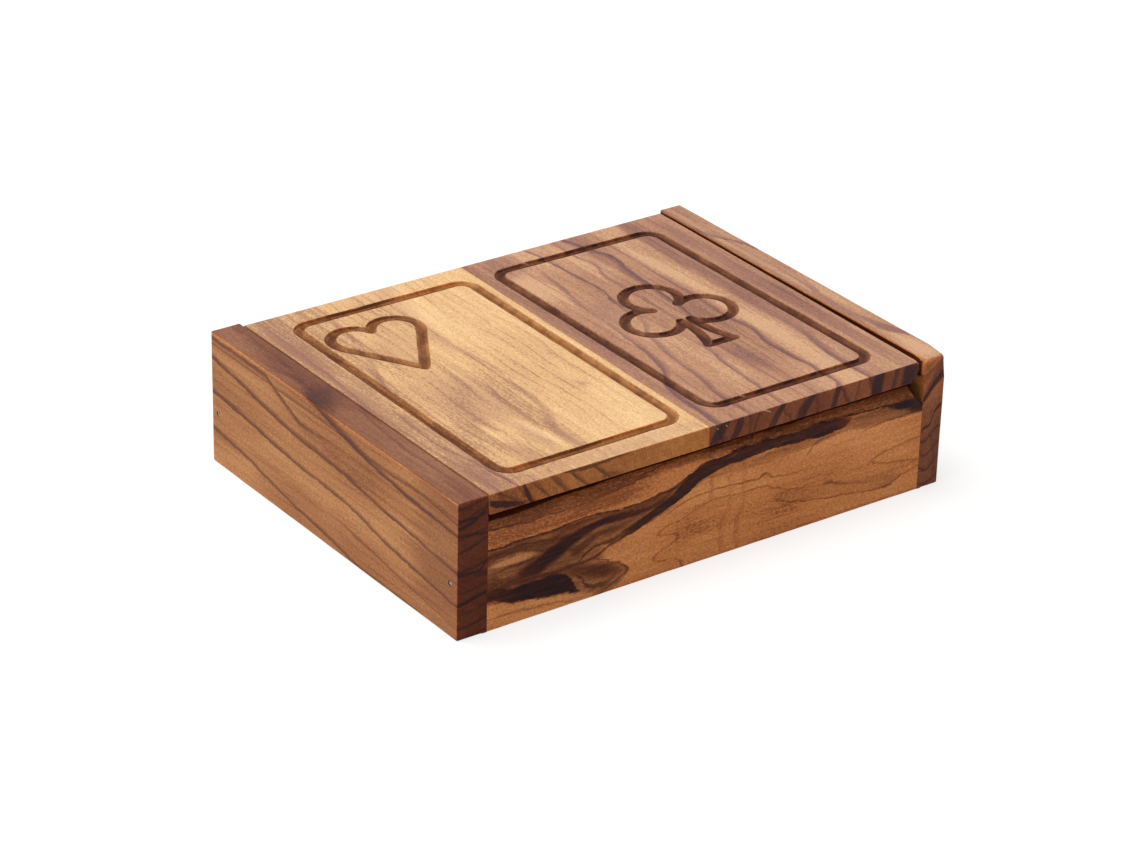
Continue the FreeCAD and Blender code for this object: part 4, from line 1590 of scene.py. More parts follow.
@dataclass(frozen=True)
class Divider:
    """The divider between the card wells, with a scoop for the fingers.

    Attributes:
        wood: its finish.
        node: the CAD node that it stands for.
        arris: how far its arrises are rubbed down.
        scoop_radius: of the scoop.
        scoop_depth: at its middle.
        lip: how far the scoop's lips are rounded, along the divider.
    """

    wood: OliveWood
    node: str = "divider"
    arris: float = 0.6
    scoop_radius: float = 34.0
    scoop_depth: float = 11.0
    lip: float = 4.0

    def build(self) -> bpy.types.Object:
        """Make the divider.

        Returns:
            The divider's object.
        """
        low, high = node_box(self.node)
        lines = [
            ruled_lines(low[0], high[0], 1.2, extra=arris_lines(low[0], high[0], self.arris)),
            ruled_lines(low[1], high[1], 1.2),
            ruled_lines(low[2], high[2], 1.6, extra=arris_lines(low[2], high[2], self.arris)),
        ]
        points, faces = lattice_skin(lines)
        ends = np.array([0, RUN_ON, 0])
        points = ease_arrises(points, low - ends, high + ends, np.full(len(points), self.arris))
        height = points[:, 2] - low[2]
        points[:, 2] = low[2] + height * (1 - self.drop(points[:, 1] - (low[1] + high[1]) / 2)
                                          / (high[2] - low[2]))
        return make_mesh("divider_wood", points, faces)

    def drop(self, along: np.ndarray) -> np.ndarray:
        """How far the scoop lies below the top: the circle's depth, eased into the level top
        by a smooth maximum with nothing.

        Args:
            along: distances from the scoop's middle.

        Returns:
            The drop at each of them.
        """
        circle = np.sqrt(np.maximum(self.scoop_radius ** 2 - along ** 2, 0))
        depth = circle - (self.scoop_radius - self.scoop_depth)
        depth = np.where(np.abs(along) < self.scoop_radius - 1, depth, -self.scoop_radius)
        blend = self.lip * 0.35
        return np.where(depth > 0, np.sqrt(depth ** 2 + blend ** 2) - blend, 0)


@dataclass(frozen=True)
class LidBoard:
    """One of the lid's two boards, with its routed card.

    Attributes:
        node: the CAD node that it stands for.
        wood: its finish.
        card: the sharp corners of the routed card outline, anticlockwise from the front left.
        suit: the strokes and sweeps of the suit's mark.
        suit_box: left, front, right and back of the part of the board that the mark lies in.
        edges: the left edge and the right edge at the front.
        skews: how much further right each edge lies at the back.
        holds: the stretch beside the left edge, and the one beside the right edge, in which
            the skew fades away.
        pin_side: -1 where the pin enters from the left, 1 where it enters from the right.
        end_radii: rounding of the upper and the lower arris on the right, at the front; it
            fades towards the back.
        arris: how far its arrises are rubbed down.
        mesh_step: spacing of the mesh beside a groove.
        card_corner: radius of the card's corners.
        heel: radius of the rounded back end.
        pin_bore: radius and depth of the hinge pin's bore.
        cutter: the cutter that routs it.
    """

    node: str
    wood: OliveWood
    card: tuple[tuple[float, float], ...]
    suit: tuple[Union[Stroke, Sweep], ...]
    suit_box: tuple[float, float, float, float]
    edges: tuple[float, float]
    skews: tuple[float, float]
    holds: tuple[tuple[float, float], tuple[float, float]]
    pin_side: int
    end_radii: tuple[float, float] = (0.3, 0.3)
    arris: float = 0.3
    mesh_step: float = 0.25
    card_corner: float = 4.8
    heel: float = 2.95
    pin_bore: tuple[float, float] = (1.15, 10.8)
    cutter: Cutter = Cutter()

    def build(self) -> bpy.types.Object:
        """Make the board.

        Returns:
            The board's object.
        """
        low, high = node_box(self.node)
        low[0], high[0] = self.edges
        lines = self.lattice(low, high)
        pins = np.array([high[1] - self.heel, low[2] + self.heel])
        radius, depth = self.pin_bore
        bore = (low[0], low[0] + depth) if self.pin_side < 0 else (high[0] - depth, high[0])
        cuts = [((bore[0], *(pins - radius)), (bore[1], *(pins + radius)))]
        plate = (*np.searchsorted(lines[0], (low[0] + 3, high[0] - 3)),
                 *np.searchsorted(lines[1], (low[1] + 3, pins[0] - 4)))
        points, faces = lattice_skin(lines, cuts, plate)
        on_top = points[:, 2] > high[2] - 0.01
        rub_and_highlight = rubbed(points, low, high + np.array([0, 9, 0]), self.arris)
        points = self.shape(points, low, high, pins)
        cut = np.full(len(points), 3.0)
        points[on_top], cut[on_top] = self.rout(points[on_top])
        return make_mesh(f"{self.node}_wood", points, faces, {"rub_and_highlight": rub_and_highlight, "groove": cut})

    def lattice(self, low: np.ndarray, high: np.ndarray) -> list[np.ndarray]:
        """The lattice lines: fine beside the grooves, and placed to suit the heel.

        Args:
            low, high: the board's lowest and highest corner.

        Returns:
            The lines along x, y and z.
        """
        corners = np.array(self.card)
        left, front = corners.min(axis=0)
        right, back = corners.max(axis=0)
        near, far = self.cutter.half_width() + 0.5, self.card_corner + 1.4
        bands = [[(left - near, left + far, self.mesh_step),
                  (right - far, right + near, self.mesh_step)],
                 [(front - near, front + far, self.mesh_step),
                  (back - far, back + near, self.mesh_step)]]
        for axis in (0, 1):
            bands[axis].append((self.suit_box[axis], self.suit_box[axis + 2], self.mesh_step))
        turns = [math.tan(math.radians(angle)) for angle in (0, 11.25, 22.5, 33.75, 45)]
        ring = [self.heel * turn for turn in turns]
        radius, depth = self.pin_bore
        pins = (high[1] - self.heel, low[2] + self.heel)
        bore = low[0] + depth if self.pin_side < 0 else high[0] - depth
        around = [offset for size in (*ring, radius) for offset in (-size, size)]
        return [
            ruled_lines(low[0], high[0], PLAIN_STEP, bands[0],
                        [bore, *arris_lines(low[0], high[0], max(self.end_radii)),
                         *arris_lines(low[0], high[0], self.arris)]),
            ruled_lines(low[1], high[1], PLAIN_STEP, bands[1],
                        [*(pins[0] + offset for offset in around),
                         *arris_lines(low[1], low[1] + 50, self.arris)[:5]]),
            np.unique(np.round([*(pins[1] + offset for offset in around),
                                *arris_lines(low[2], high[2], 0.5 * max(self.end_radii)),
                                *arris_lines(low[2], high[2], self.arris)], 3)),
        ]

    def shape(self, points: np.ndarray, low: np.ndarray, high: np.ndarray,
              pins: np.ndarray) -> np.ndarray:
        """Turn the plain block into the board.

        The arrises are rubbed down; the last stretch before the back end becomes a half
        cylinder about the pins, whose square rings become circles; and the long edges are
        skewed.

        Args:
            points: places on the block's skin.
            low, high: the board's lowest and highest corner.
            pins: the middle of the pins, from the front and up.

        Returns:
            The moved points.
        """
        arm = points[:, 1:] - pins
        in_heel = arm[:, 0] > 0
        ring = np.abs(arm).max(axis=1)
        angle = np.arctan2(arm[:, 1], arm[:, 0])
        level = points.copy()
        level[in_heel, 1] = pins[0]
        level[in_heel, 2] = pins[1] + ring[in_heel]
        deep = high + np.array([0, RUN_ON, 0])
        eased = ease_arrises(level, low, deep, self.roundness(points, low, high))
        reach = eased[in_heel, 2] - pins[1]
        eased[in_heel, 1] = pins[0] + reach * np.cos(angle[in_heel])
        eased[in_heel, 2] = pins[1] + reach * np.sin(angle[in_heel])
        ahead = ~in_heel & (ring < self.heel)
        eased[ahead] = round_out(eased[ahead], (1, 2), pins, self.pin_bore[0], self.heel)
        stretch = (low[0], *self.holds[0], *self.holds[1], high[0])
        skew = np.interp(eased[:, 0], stretch,
                         (self.skews[0], self.skews[0], 0, 0, self.skews[1], self.skews[1]))
        eased[:, 0] += skew * (points[:, 1] - low[1]) / (high[1] - low[1])
        return eased

    def roundness(self, points: np.ndarray, low: np.ndarray, high: np.ndarray) -> np.ndarray:
        """The rounding of the arris near each point: uneven, and larger at the right, less
        and less towards the back.

        Args:
            points: places on the block's skin.
            low, high: the board's lowest and highest corner.

        Returns:
            A radius for each point.
        """
        uneven = self.arris * (1 + 0.25 * ripple(points, 11.0, 12))
        right = points[:, 0] > high[0] - 3
        lower = points[:, 2] < low[2] + self.heel
        worn = np.where(lower, self.end_radii[1], self.end_radii[0])
        ahead = np.clip(1 - (points[:, 1] - low[1]) / 100, 0, 1)
        return np.where(right, uneven + np.maximum(worn - self.arris, 0) * ahead, uneven)

    def rout(self, points: np.ndarray) -> tuple[np.ndarray, np.ndarray]:
        """Sink the grooves into the top.

        A point that lies within a step of a groove's rim is first moved along the slope of
        the distance, so that the rim runs through mesh points and comes out clean.

        Args:
            points: places on the top.

        Returns:
            The moved points, and for each its distance from the cutter's line as a share of
            half the groove's width.
        """
        lines = [*card_outline(self.card, self.card_corner), *self.suit]
        places = points[:, :2]
        apart, half = 0.02, self.cutter.half_width()
        distance = self.cutter.distance(places, lines)
        steps = (np.array([apart, 0]), np.array([0, apart]))
        slope = np.stack([self.cutter.distance(places + step, lines)
                          - self.cutter.distance(places - step, lines) for step in steps], axis=1)
        slope /= np.maximum(np.linalg.norm(slope, axis=1), TINY)[:, None]
        off = distance - half
        drawn = np.sign(off) * np.maximum(np.abs(off) - 0.5 * self.mesh_step, 0) * 2
        move = np.where(np.abs(off) < self.mesh_step, drawn - off, 0)
        moved = points.copy()
        moved[:, :2] += slope * move[:, None]
        distance = distance + move
        moved[:, 2] -= self.cutter.sink(distance) - self.cutter.sink(np.array([9.0]))
        return moved, np.minimum(distance / half, 3.0)


# The figure of each board
PALE_BOARD = OliveWood(
    name="pale_lid_board", face=Face.TOP, surface=39.5, grain=Grain.ALONG_Y,
    tones=((0.9, 0.59, 0.3), (0.75, 0.45, 0.215), (0.43, 0.22, 0.12)),
    vein_tone=(0.16, 0.068, 0.072), vein_cast=(0.76, 0.64, 0.78),
    swell=((9.6, 0.42), (16, 0.38), (21, 0.24), (33, 0.2), (45, 0.1), (55, -0.06), (75, -0.08),
        (81, -0.02)),
    veins=(
        Vein(((56, 19.5, 1, 0), (64, 20.5, 1.3, 0.42), (72, 23, 1.6, 0.38), (80, 26.2, 1.7, 0.34),
            (88, 28.3, 1.5, 0.24), (96, 30, 1.1, 0.34), (104, 31, 1, 0.5), (112, 31.6),
            (119, 32, 1, 0.4)), bleed=-1, tilt=0.6),
        band(((3, 45, 1.2, 0.2), (9, 45, 1.3, 0.4), (15, 44.4, 1.4, 0.55), (21, 44.6, 1.2, 0.55),
            (26, 46, 1.7, 0.45), (30, 48, 1.3, 0.36), (35, 49.2, 0.8, 0.4), (45, 49.8, 0.6, 0.3),
            (56, 50.4, 0.6, 0.25), (68, 50.6, 1, 0.32), (80, 49.6, 1.8, 0.26),
            (92, 50.4, 2.2, 0.22), (105, 52, 2.6, 0.2), (120, 54, 2.8, 0.18)), tilt=-0.8,
            fade=0.8),
        Vein(((34, 49.4, 0.35, 0), (37, 49.6, 0.35, 0.5), (44, 50, 0.35, 0.4),
            (54, 51.2, 0.35, 0.45), (60, 51.4, 0.4, 0.5), (70, 50.8, 0.4, 0.45),
            (78, 50, 0.4, 0))),
        Vein(((0, 18, 0.9, 0.8), (3.9, 17.7), (15, 16, 0.8, 0.7), (25, 14.3, 0.7, 0.55),
            (34, 13.6, 0.7, 0.5), (50, 14.5, 0.6, 0.35), (60, 16.5, 0.6, 0)), tilt=0.9),
        Vein(((0, 12.5, 0.8, 0.5), (40, 11, 0.6, 0.4), (60, 10.5, 1, 0.5), (80, 11.5, 1.2, 0.5),
            (100, 13, 1.3, 0.45), (119, 14.5, 1.3, 0.4)), bleed=-1, tilt=0.4),
        Vein(((0, 34, 0.5, 0.4), (14, 33.5, 0.5, 0.35), (30, 36, 0.5, 0)), tilt=0.5),
        band(((36, 65.5, 0.9, 0), (39, 65.8, 0.9, 0.4), (42, 65.2, 0.9, 0))),
    ),
    ends=(
        band(((9.6, 36.9, 0.8, 1), (12, 36, 1, 1), (15, 35.2), (18, 34.6, 0.7, 0.95),
            (22, 34.1, 0.5, 0)), face=Face.FRONT),
        band(((33.6, 22.6, 0.6, 0.9), (36.5, 21.3, 0.7, 0.95), (39.5, 20, 0.6, 0.85)),
            face=Face.RISING),
        band(((31, 39.5, 0.3, 0), (34, 39.2, 0.6, 0.8), (38, 38.8, 0.6, 0.75),
            (43, 38.9, 0.5, 0.75), (49, 39.1, 0.4, 0.7), (56, 39.4, 0.3, 0)), fade=0.6,
            face=Face.FRONT),
        band(((44, 34.6, 0.7, 0), (46, 34.8, 1, 0.5), (49, 34.4, 0.6, 0.4), (53, 33.9, 0.4, 0)),
            fade=0.7, face=Face.FRONT),
        Vein(((33.6, 20, 0.8, 0.6), (36.5, 16.2, 0.9, 0.6), (39.5, 11, 0.9, 0.4)),
            face=Face.RISING),
        Vein(((33.6, 28, 0.6, 0.6), (36.5, 25.4, 0.7, 0.6), (39.5, 22.6, 0.5, 0.5)),
            face=Face.RISING),
        Vein(((33.6, 33.5, 1.1, 0.5), (36.5, 30.7, 1.2, 0.6), (39.5, 28.2, 1, 0.55)),
            face=Face.RISING),
        Vein(((33.6, 39.6, 0.9, 0.6), (36.5, 36.5, 1.1, 0.7), (39.5, 33.6, 0.9, 0.6)),
            face=Face.RISING),
        Vein(((33.6, 47.2, 0.9, 0.7), (36.5, 44, 1.1, 0.75), (39.5, 41, 0.9, 0.65)),
            face=Face.RISING),
    ),
    stains=(Smudge((3, 48), (4.2, 42), 0, 0.24), Smudge((48, 35), (20, 11), 0, 0.26),
        Smudge((20, 38), (12, 3), 0, 0.24), Smudge((12, 30), (12, 3), 0, 0.26),
        Smudge((10, 13), (10, 3.5), 0, 0.3), Smudge((102, 14), (26, 4.5), 4, 0.3),
        Smudge((84, 37), (12, 8), 0, 0.16)),
    lights=(Smudge((22, 39.5), (11, 1.7), -8, 0.45), Smudge((26, 30), (9, 2), -6, 0.3)),
    wander=1.2, ring_spacing=3.4, ring_waves=2.2, ring_strength=0.3, seed=0, routed=True,
    contrast=0.5, tints=((1, (0.78, 0.48, 0.27)),),
)

DARK_BOARD = OliveWood(
    name="dark_lid_board", face=Face.TOP, surface=39.5, grain=Grain.ALONG_Y,
    tones=((0.66, 0.38, 0.215), (0.47, 0.235, 0.135), (0.29, 0.13, 0.085)),
    vein_tone=(0.105, 0.046, 0.054), vein_cast=(0.74, 0.66, 0.82), end_tone=(0.035, 0.014, 0.018),
    swell=((79, 0.05), (85, 0.05), (90, -0.02), (100, -0.04), (109, 0.05), (118, 0.08),
        (124, 0.02), (127, -0.16), (131, -0.16), (135, 0), (140, 0.12), (144, 0.05), (151, 0.1)),
    veins=(
        Vein(((0, 81, 1.2, 0.8), (23.9, 83.5, 1.4, 0.8), (32.8, 88.6, 1.2, 0.75),
            (43.9, 91.5, 1.2, 0.7), (55, 92.5, 1, 0.6), (70, 93, 0.8, 0)), tilt=0.5),
        Vein(((0, 92, 0.9, 0.5), (14, 92.5, 1.1, 0.6), (24, 94.5), (34, 95.5, 1, 0.5),
            (44, 97, 1.3, 0.6), (54, 99, 1.3, 0.55), (60, 102, 1, 0.4), (66, 103, 0.8, 0))),
        Vein(((0, 103.5, 0.8, 0.5), (10.6, 104.2, 0.9, 0.6), (22, 104.8, 0.9, 0.65), (30.6, 105.8),
            (38, 107, 0.9, 0.6), (46, 106.6, 0.9, 0.3), (62, 104, 0.7, 0.3),
            (71.7, 102.6, 0.7, 0.6), (85, 104.3, 0.8, 0.75), (105, 103.6), (119, 101.6, 0.8, 0.7)),
            tilt=0.5),
        Vein(((72, 95.5, 0.9, 0), (78, 94.5, 1, 0.45), (90, 96.5, 1, 0.5), (104, 98, 0.9, 0.3),
            (112, 99, 0.9, 0)), bleed=-1),
        Vein(((83, 111, 0.7, 0.3), (92, 111.5, 0.8, 0.6), (99, 113.5, 0.8, 0.55),
            (106, 111.8, 0.8, 0.6), (119, 112, 0.7, 0.3))),
        Vein(((50, 115.5, 0.8, 0.4), (64, 117, 1.1, 0.8), (77, 118.2, 1.3, 0.85),
            (92, 119.6, 1.6, 0.9), (100, 121.2, 1.7, 0.95), (106, 119.3, 1.6, 0.9),
            (117, 116.5, 1.2, 0.85)), bleed=-1),
        Vein(((0, 122, 0.9, 0.7), (10.6, 123.8, 1.1, 0.8), (30.6, 123.2), (41.7, 125, 1, 0.75),
            (52.8, 123.7, 0.9, 0.6), (66, 124.4, 0.9, 0.5), (80, 124.8, 0.8, 0.55),
            (100, 125.2, 0.8, 0.5), (119, 125, 0.8, 0.3)), tilt=0.5),
        Vein(((0, 132.5, 1.6, 0.75), (14, 133), (26, 134.5, 1.8, 0.7), (36, 136, 2.2, 0.55),
            (60, 136, 2.8, 0.42), (90, 136, 3.2, 0.42), (120, 136, 3, 0.42)), tilt=0.4),
    ),
    ends=(
        band(((33.6, 80.6, 1.5, 0.8), (36.5, 82.2, 2, 0.9), (39.5, 84.5, 1.6, 0.8)),
            face=Face.RISING),
        band(((33.6, 87, 1.2, 0.85), (36.5, 88.6, 1.3, 0.85), (39.5, 89.2, 1, 0.7)),
            face=Face.RISING),
        Vein(((33.6, 93.5, 0.6, 0.6), (39.5, 95.5, 0.7, 0.6)), face=Face.RISING),
        band(((33.6, 99.8, 1.3, 0.7), (36.5, 101.4, 1.4, 0.85), (39.5, 103.6, 1, 0.9)), fade=0.5,
            face=Face.RISING),
        band(((33.6, 109.6, 1.7, 0.8), (36.5, 111, 1.9, 0.85), (39.5, 113.6, 1.4, 0.9)), fade=0.5,
            face=Face.RISING),
        band(((33.6, 120.6, 0.9, 0.8), (39.5, 122.2, 0.9, 0.9)), face=Face.RISING),
        Vein(((33.6, 128, 0.6, 0.5), (39.5, 129.5)), face=Face.RISING),
        band(((33.6, 135.5, 1.9, 0.95), (39.5, 136.5, 1.8, 0.95)), face=Face.RISING),
        Vein(((33.6, 141, 1.2, 0.7), (39.5, 142.5, 1.2, 0.75)), face=Face.RISING),
        band(((33.6, 147.5, 3.4, 0.95), (39.5, 148, 3, 0.9)), face=Face.RISING),
    ),
    stains=(Smudge((60, 82), (70, 2), 0, 0.25), Smudge((68, 97), (12, 6), 10, 0.22),
        Smudge((28, 113.5), (13, 4), 0, 0.42), Smudge((60, 146.5), (80, 3.4), 0, 0.34),
        Smudge((112, 92), (10, 6), 0, 0.3), Smudge((108, 119), (14, 4), 0, 0.3)),
    lights=(Smudge((60, 129), (50, 3), 0, 0.35), Smudge((93, 91), (14, 5), 0, 0.4),
        Smudge((100, 112), (14, 5), 0, 0.2)),
    wander=1.1, ring_spacing=3.4, ring_waves=2.2, ring_strength=0.18, seed=37, routed=True,
    contrast=0.52, burnt=((0.52, 0.38, 0.29), (0.34, 0.26, 0.27)),
    tints=((1, (0.54, 0.31, 0.23)),),
    scratches=(
        band(((96.6, 39.6, 0.24, 0.9), (98.2, 38.9, 0.2, 0.9), (99.8, 37.9, 0.12, 0)), fade=0.6,
            face=Face.FRONT),
        band(((84.1, 38.6, 0.15, 0), (84.5, 38.2, 0.2, 0.8), (85.1, 37.8, 0.12, 0)), fade=0.6,
            face=Face.FRONT),
        band(((81.2, 38.4, 0.12, 0), (81.6, 38.1, 0.2, 0.7), (82.1, 37.9, 0.1, 0)), fade=0.6,
            face=Face.FRONT),
    ),
)

LEFT_SIDE = OliveWood(
    name="left_wall_board", face=Face.SIDE, surface=0, grain=Grain.ALONG_Y,
    tones=((0.79, 0.38, 0.155), (0.6, 0.25, 0.092), (0.37, 0.13, 0.048)),
    vein_tone=(0.1, 0.036, 0.028), end_tone=(0.03, 0.008, 0.01),
    veins=(
        Vein(((0, 30, 0.8, 0.85), (20, 31.5, 0.9, 0.9), (35, 33, 1, 0.9), (50, 35.5, 1.3, 0.9),
            (70, 39.5, 1.4, 0.8), (80, 40.5, 1.2, 0.4), (120, 41, 1.2, 0.3)), tilt=-0.12),
        Vein(((0, 33.5, 0.7, 0.7), (20, 35, 0.6, 0.6), (35, 34.6), (50, 36, 0.6, 0.5)), tilt=0.36),
        Vein(((60, 31, 0.7, 0.2), (72, 30.5, 0.8, 0.7), (80, 33, 0.9, 0.75), (92, 38, 1, 0.8)),
            bleed=-1),
        Vein(((0, 19, 0.8, 0.8), (20, 21), (40, 23, 0.8, 0.75), (55, 25, 0.9, 0.7),
            (75, 26, 0.9, 0.75), (100, 29, 0.9, 0.8), (120, 32)), tilt=0.2),
        Vein(((0, 10, 0.8, 0.8), (30, 13, 0.8, 0.75), (50, 16, 0.8, 0.7), (72, 17.5, 0.8, 0.75),
            (85, 18.5, 0.8, 0.8), (100, 20, 0.9, 0.8), (120, 21.5)), tilt=0.2),
        Vein(((45, 0, 0.8, 0.7), (60, 2.5), (80, 5), (100, 8, 0.8, 0.75), (120, 10.5, 0.9, 0.8)),
            tilt=0.1),
        Vein(((0, 4, 0.6, 0.4), (40, 8, 0.6, 0.5), (60, 10.5, 0.6, 0.2))),
        Vein(((55, 6.5, 1.4, 0), (64, 5.5, 2, 0.4), (80, 4, 2.2, 0.45), (92, 2.5, 1.6, 0.3),
            (104, 2, 1, 0)), face=Face.TOP),
        Vein(((0, 6.5, 0.5, 0.3), (30, 5.5, 0.6, 0.35), (60, 7.5, 0.6, 0.3), (120, 6.5)),
            face=Face.TOP),
    ),
    ends=(
        Vein(((-0.5, 34.9, 0.5, 0.9), (2, 34.6, 0.6, 0.9), (5, 34.4, 0.8, 1), (7.5, 35.3, 0.9, 1),
            (9.4, 36.6, 0.7, 0.95)), bleed=-1, face=Face.FRONT),
        Vein(((-0.5, 32.4, 0.7, 0.9), (2, 32.8, 0.9, 1), (4.5, 33.5), (7, 34.8, 0.6, 0.9)),
            bleed=-1, face=Face.FRONT),
        Vein(((-0.5, 37.6, 0.5, 0.5), (4, 38, 0.5, 0.6), (9.4, 39, 0.5, 0.4)), face=Face.FRONT),
        Vein(((-0.5, 28.7, 0.4, 0.6), (4, 29.6, 0.5, 0.6), (9.4, 30.4, 0.4, 0.5)),
            face=Face.FRONT),
        Vein(((0.5, 25.2, 0.5, 0.6), (4, 26, 0.7, 0.8), (8, 27.3, 0.5, 0.7),
            (9.4, 27.8, 0.5, 0.4)), face=Face.FRONT),
        Vein(((-0.5, 18.9, 0.6, 1), (3, 18.9, 0.7, 1), (6, 18.7), (8, 20.3, 0.7, 0.9),
            (9.4, 21.4, 0.6, 0.8)), bleed=-1, face=Face.FRONT),
        Vein(((4, 16.8, 0.5, 0), (7, 17.4, 1.2, 0.7), (9.4, 17, 1.4, 0.7)), face=Face.FRONT),
        Vein(((-0.5, 13.4, 0.4, 0.3), (5, 13.8, 0.5, 0.5), (9.4, 15)), face=Face.FRONT),
        Vein(((-0.5, 10.1, 0.6, 0.9), (4, 10.8, 0.7, 1), (9.4, 11.9, 0.6, 0.9)), face=Face.FRONT),
        Vein(((-0.5, 7.4, 0.4, 0.4), (5, 7.8, 0.5, 0.4), (9.4, 8.6)), face=Face.FRONT),
        Vein(((-0.5, 3.3, 0.5, 0.7), (5, 3.8, 0.6, 0.7), (9.4, 4.8, 0.5, 0.6)), face=Face.FRONT),
    ),
    stains=(Smudge((6, 18), (16, 30), 0, 0.3), Smudge((60, 6), (60, 6), 4, 0.08)),
    wander=0.8, ring_spacing=3.2, ring_waves=1.3, seed=71, contrast=0.6,
    tints=((1, (0.3, 0.18, 0.18)), (2, (0.405, 0.37, 0.5))),
)

RIGHT_SIDE = OliveWood(
    name="right_wall_board", face=Face.TOP, surface=39.5, grain=Grain.ALONG_Y,
    tones=((0.66, 0.38, 0.22), (0.51, 0.27, 0.15), (0.33, 0.155, 0.09)),
    vein_tone=(0.12, 0.058, 0.058), vein_cast=(0.74, 0.66, 0.8),
    veins=(
        Vein(((80, 161, 0.9, 0.6), (88.3, 158.8, 0.9, 0.75), (95, 156, 1, 0.75), (105, 152.7),
            (112, 150, 1, 0.6)), tilt=-1.6),
        band(((11, 162, 1.2, 0.3), (16, 159.6, 1.5, 0.6), (21, 157, 1.8, 0.62),
            (27, 156, 1.3, 0.5), (35, 154.8, 0.8, 0.45), (45, 154.8, 0.9, 0.45),
            (56, 156.6, 1.3, 0.4), (70, 157.5, 1.2, 0.2)), tilt=-1.6),
        Vein(((0, 152.8, 1.2, 0), (20, 153, 1, 0.3), (60, 153.2, 1, 0.45), (120, 153, 1, 0.5)),
            tilt=-0.2),
    ),
    ends=(
        band(((152, 26.6, 1, 1), (154, 28.5, 1.2, 1), (156, 31, 1.3, 1), (158, 33, 1.5, 1),
            (160.5, 34.9, 1.7, 1)), fade=0.5, face=Face.FRONT),
        band(((152, 27.4, 1.2, 0.3), (154, 29.8, 1.6, 0.5), (156, 32.4, 1.9, 0.6),
            (158, 34.8, 2.3, 0.65), (160.5, 37, 2.6, 0.7)), fade=0.8, face=Face.FRONT),
        Vein(((152.4, 17, 0.9, 0.95), (153.4, 18.4, 0.9, 1), (155.4, 18.9, 0.8, 1),
            (156.3, 20.4, 1, 1), (157.2, 22.9, 1.1, 1), (158.6, 24.2, 1, 1),
            (160.5, 25.2, 1, 0.9)), bleed=-1, face=Face.FRONT),
        Vein(((152, 15.2, 1, 0.8), (154, 14, 1.1, 0.8), (155.5, 15.2), (157.5, 17), (160.5, 18.3)),
            face=Face.FRONT),
        Vein(((152, 11.8, 1, 0.75), (154.5, 9.6, 1.1, 0.8), (157, 11.2), (160.5, 14.2)),
            face=Face.FRONT),
        Vein(((152, 7, 1, 0.8), (155, 5.2, 1.3, 0.85), (158, 7.4), (160.5, 10, 1.3, 0.8)),
            face=Face.FRONT),
        Vein(((152, 2, 0.9, 0.7), (155, 0.9, 1.2, 0.8), (160.5, 4)), face=Face.FRONT),
        band(((2, 158.6, 1.2, 0.6), (8, 158, 1.4, 0.7), (14, 157, 1.3, 0.6), (20, 158.6, 1.2, 0.5),
            (26, 160, 1, 0)), fade=0.8, face=Face.RISING),
        band(((152, 5, 21, 0.36), (160.5, 7)), fade=0.25, face=Face.FRONT),
        band(((152, 7, 9.5, 0.45), (156, 8, 9.5, 0.5), (160.5, 9, 11, 0.55)), face=Face.FRONT),
        band(((38.3, 152.8, 0.3, 0), (39, 153, 0.45, 0.9), (39.8, 153.1)), face=Face.RISING),
    ),
    lights=(Smudge((8, 156), (9, 4), 0, 0.4),),
    wander=0.8, ring_spacing=2.6, ring_waves=1.5, seed=113, contrast=0.55,
    tints=((1, (0.74, 0.46, 0.33)), (0, (1, 0.74, 0.42))),
)

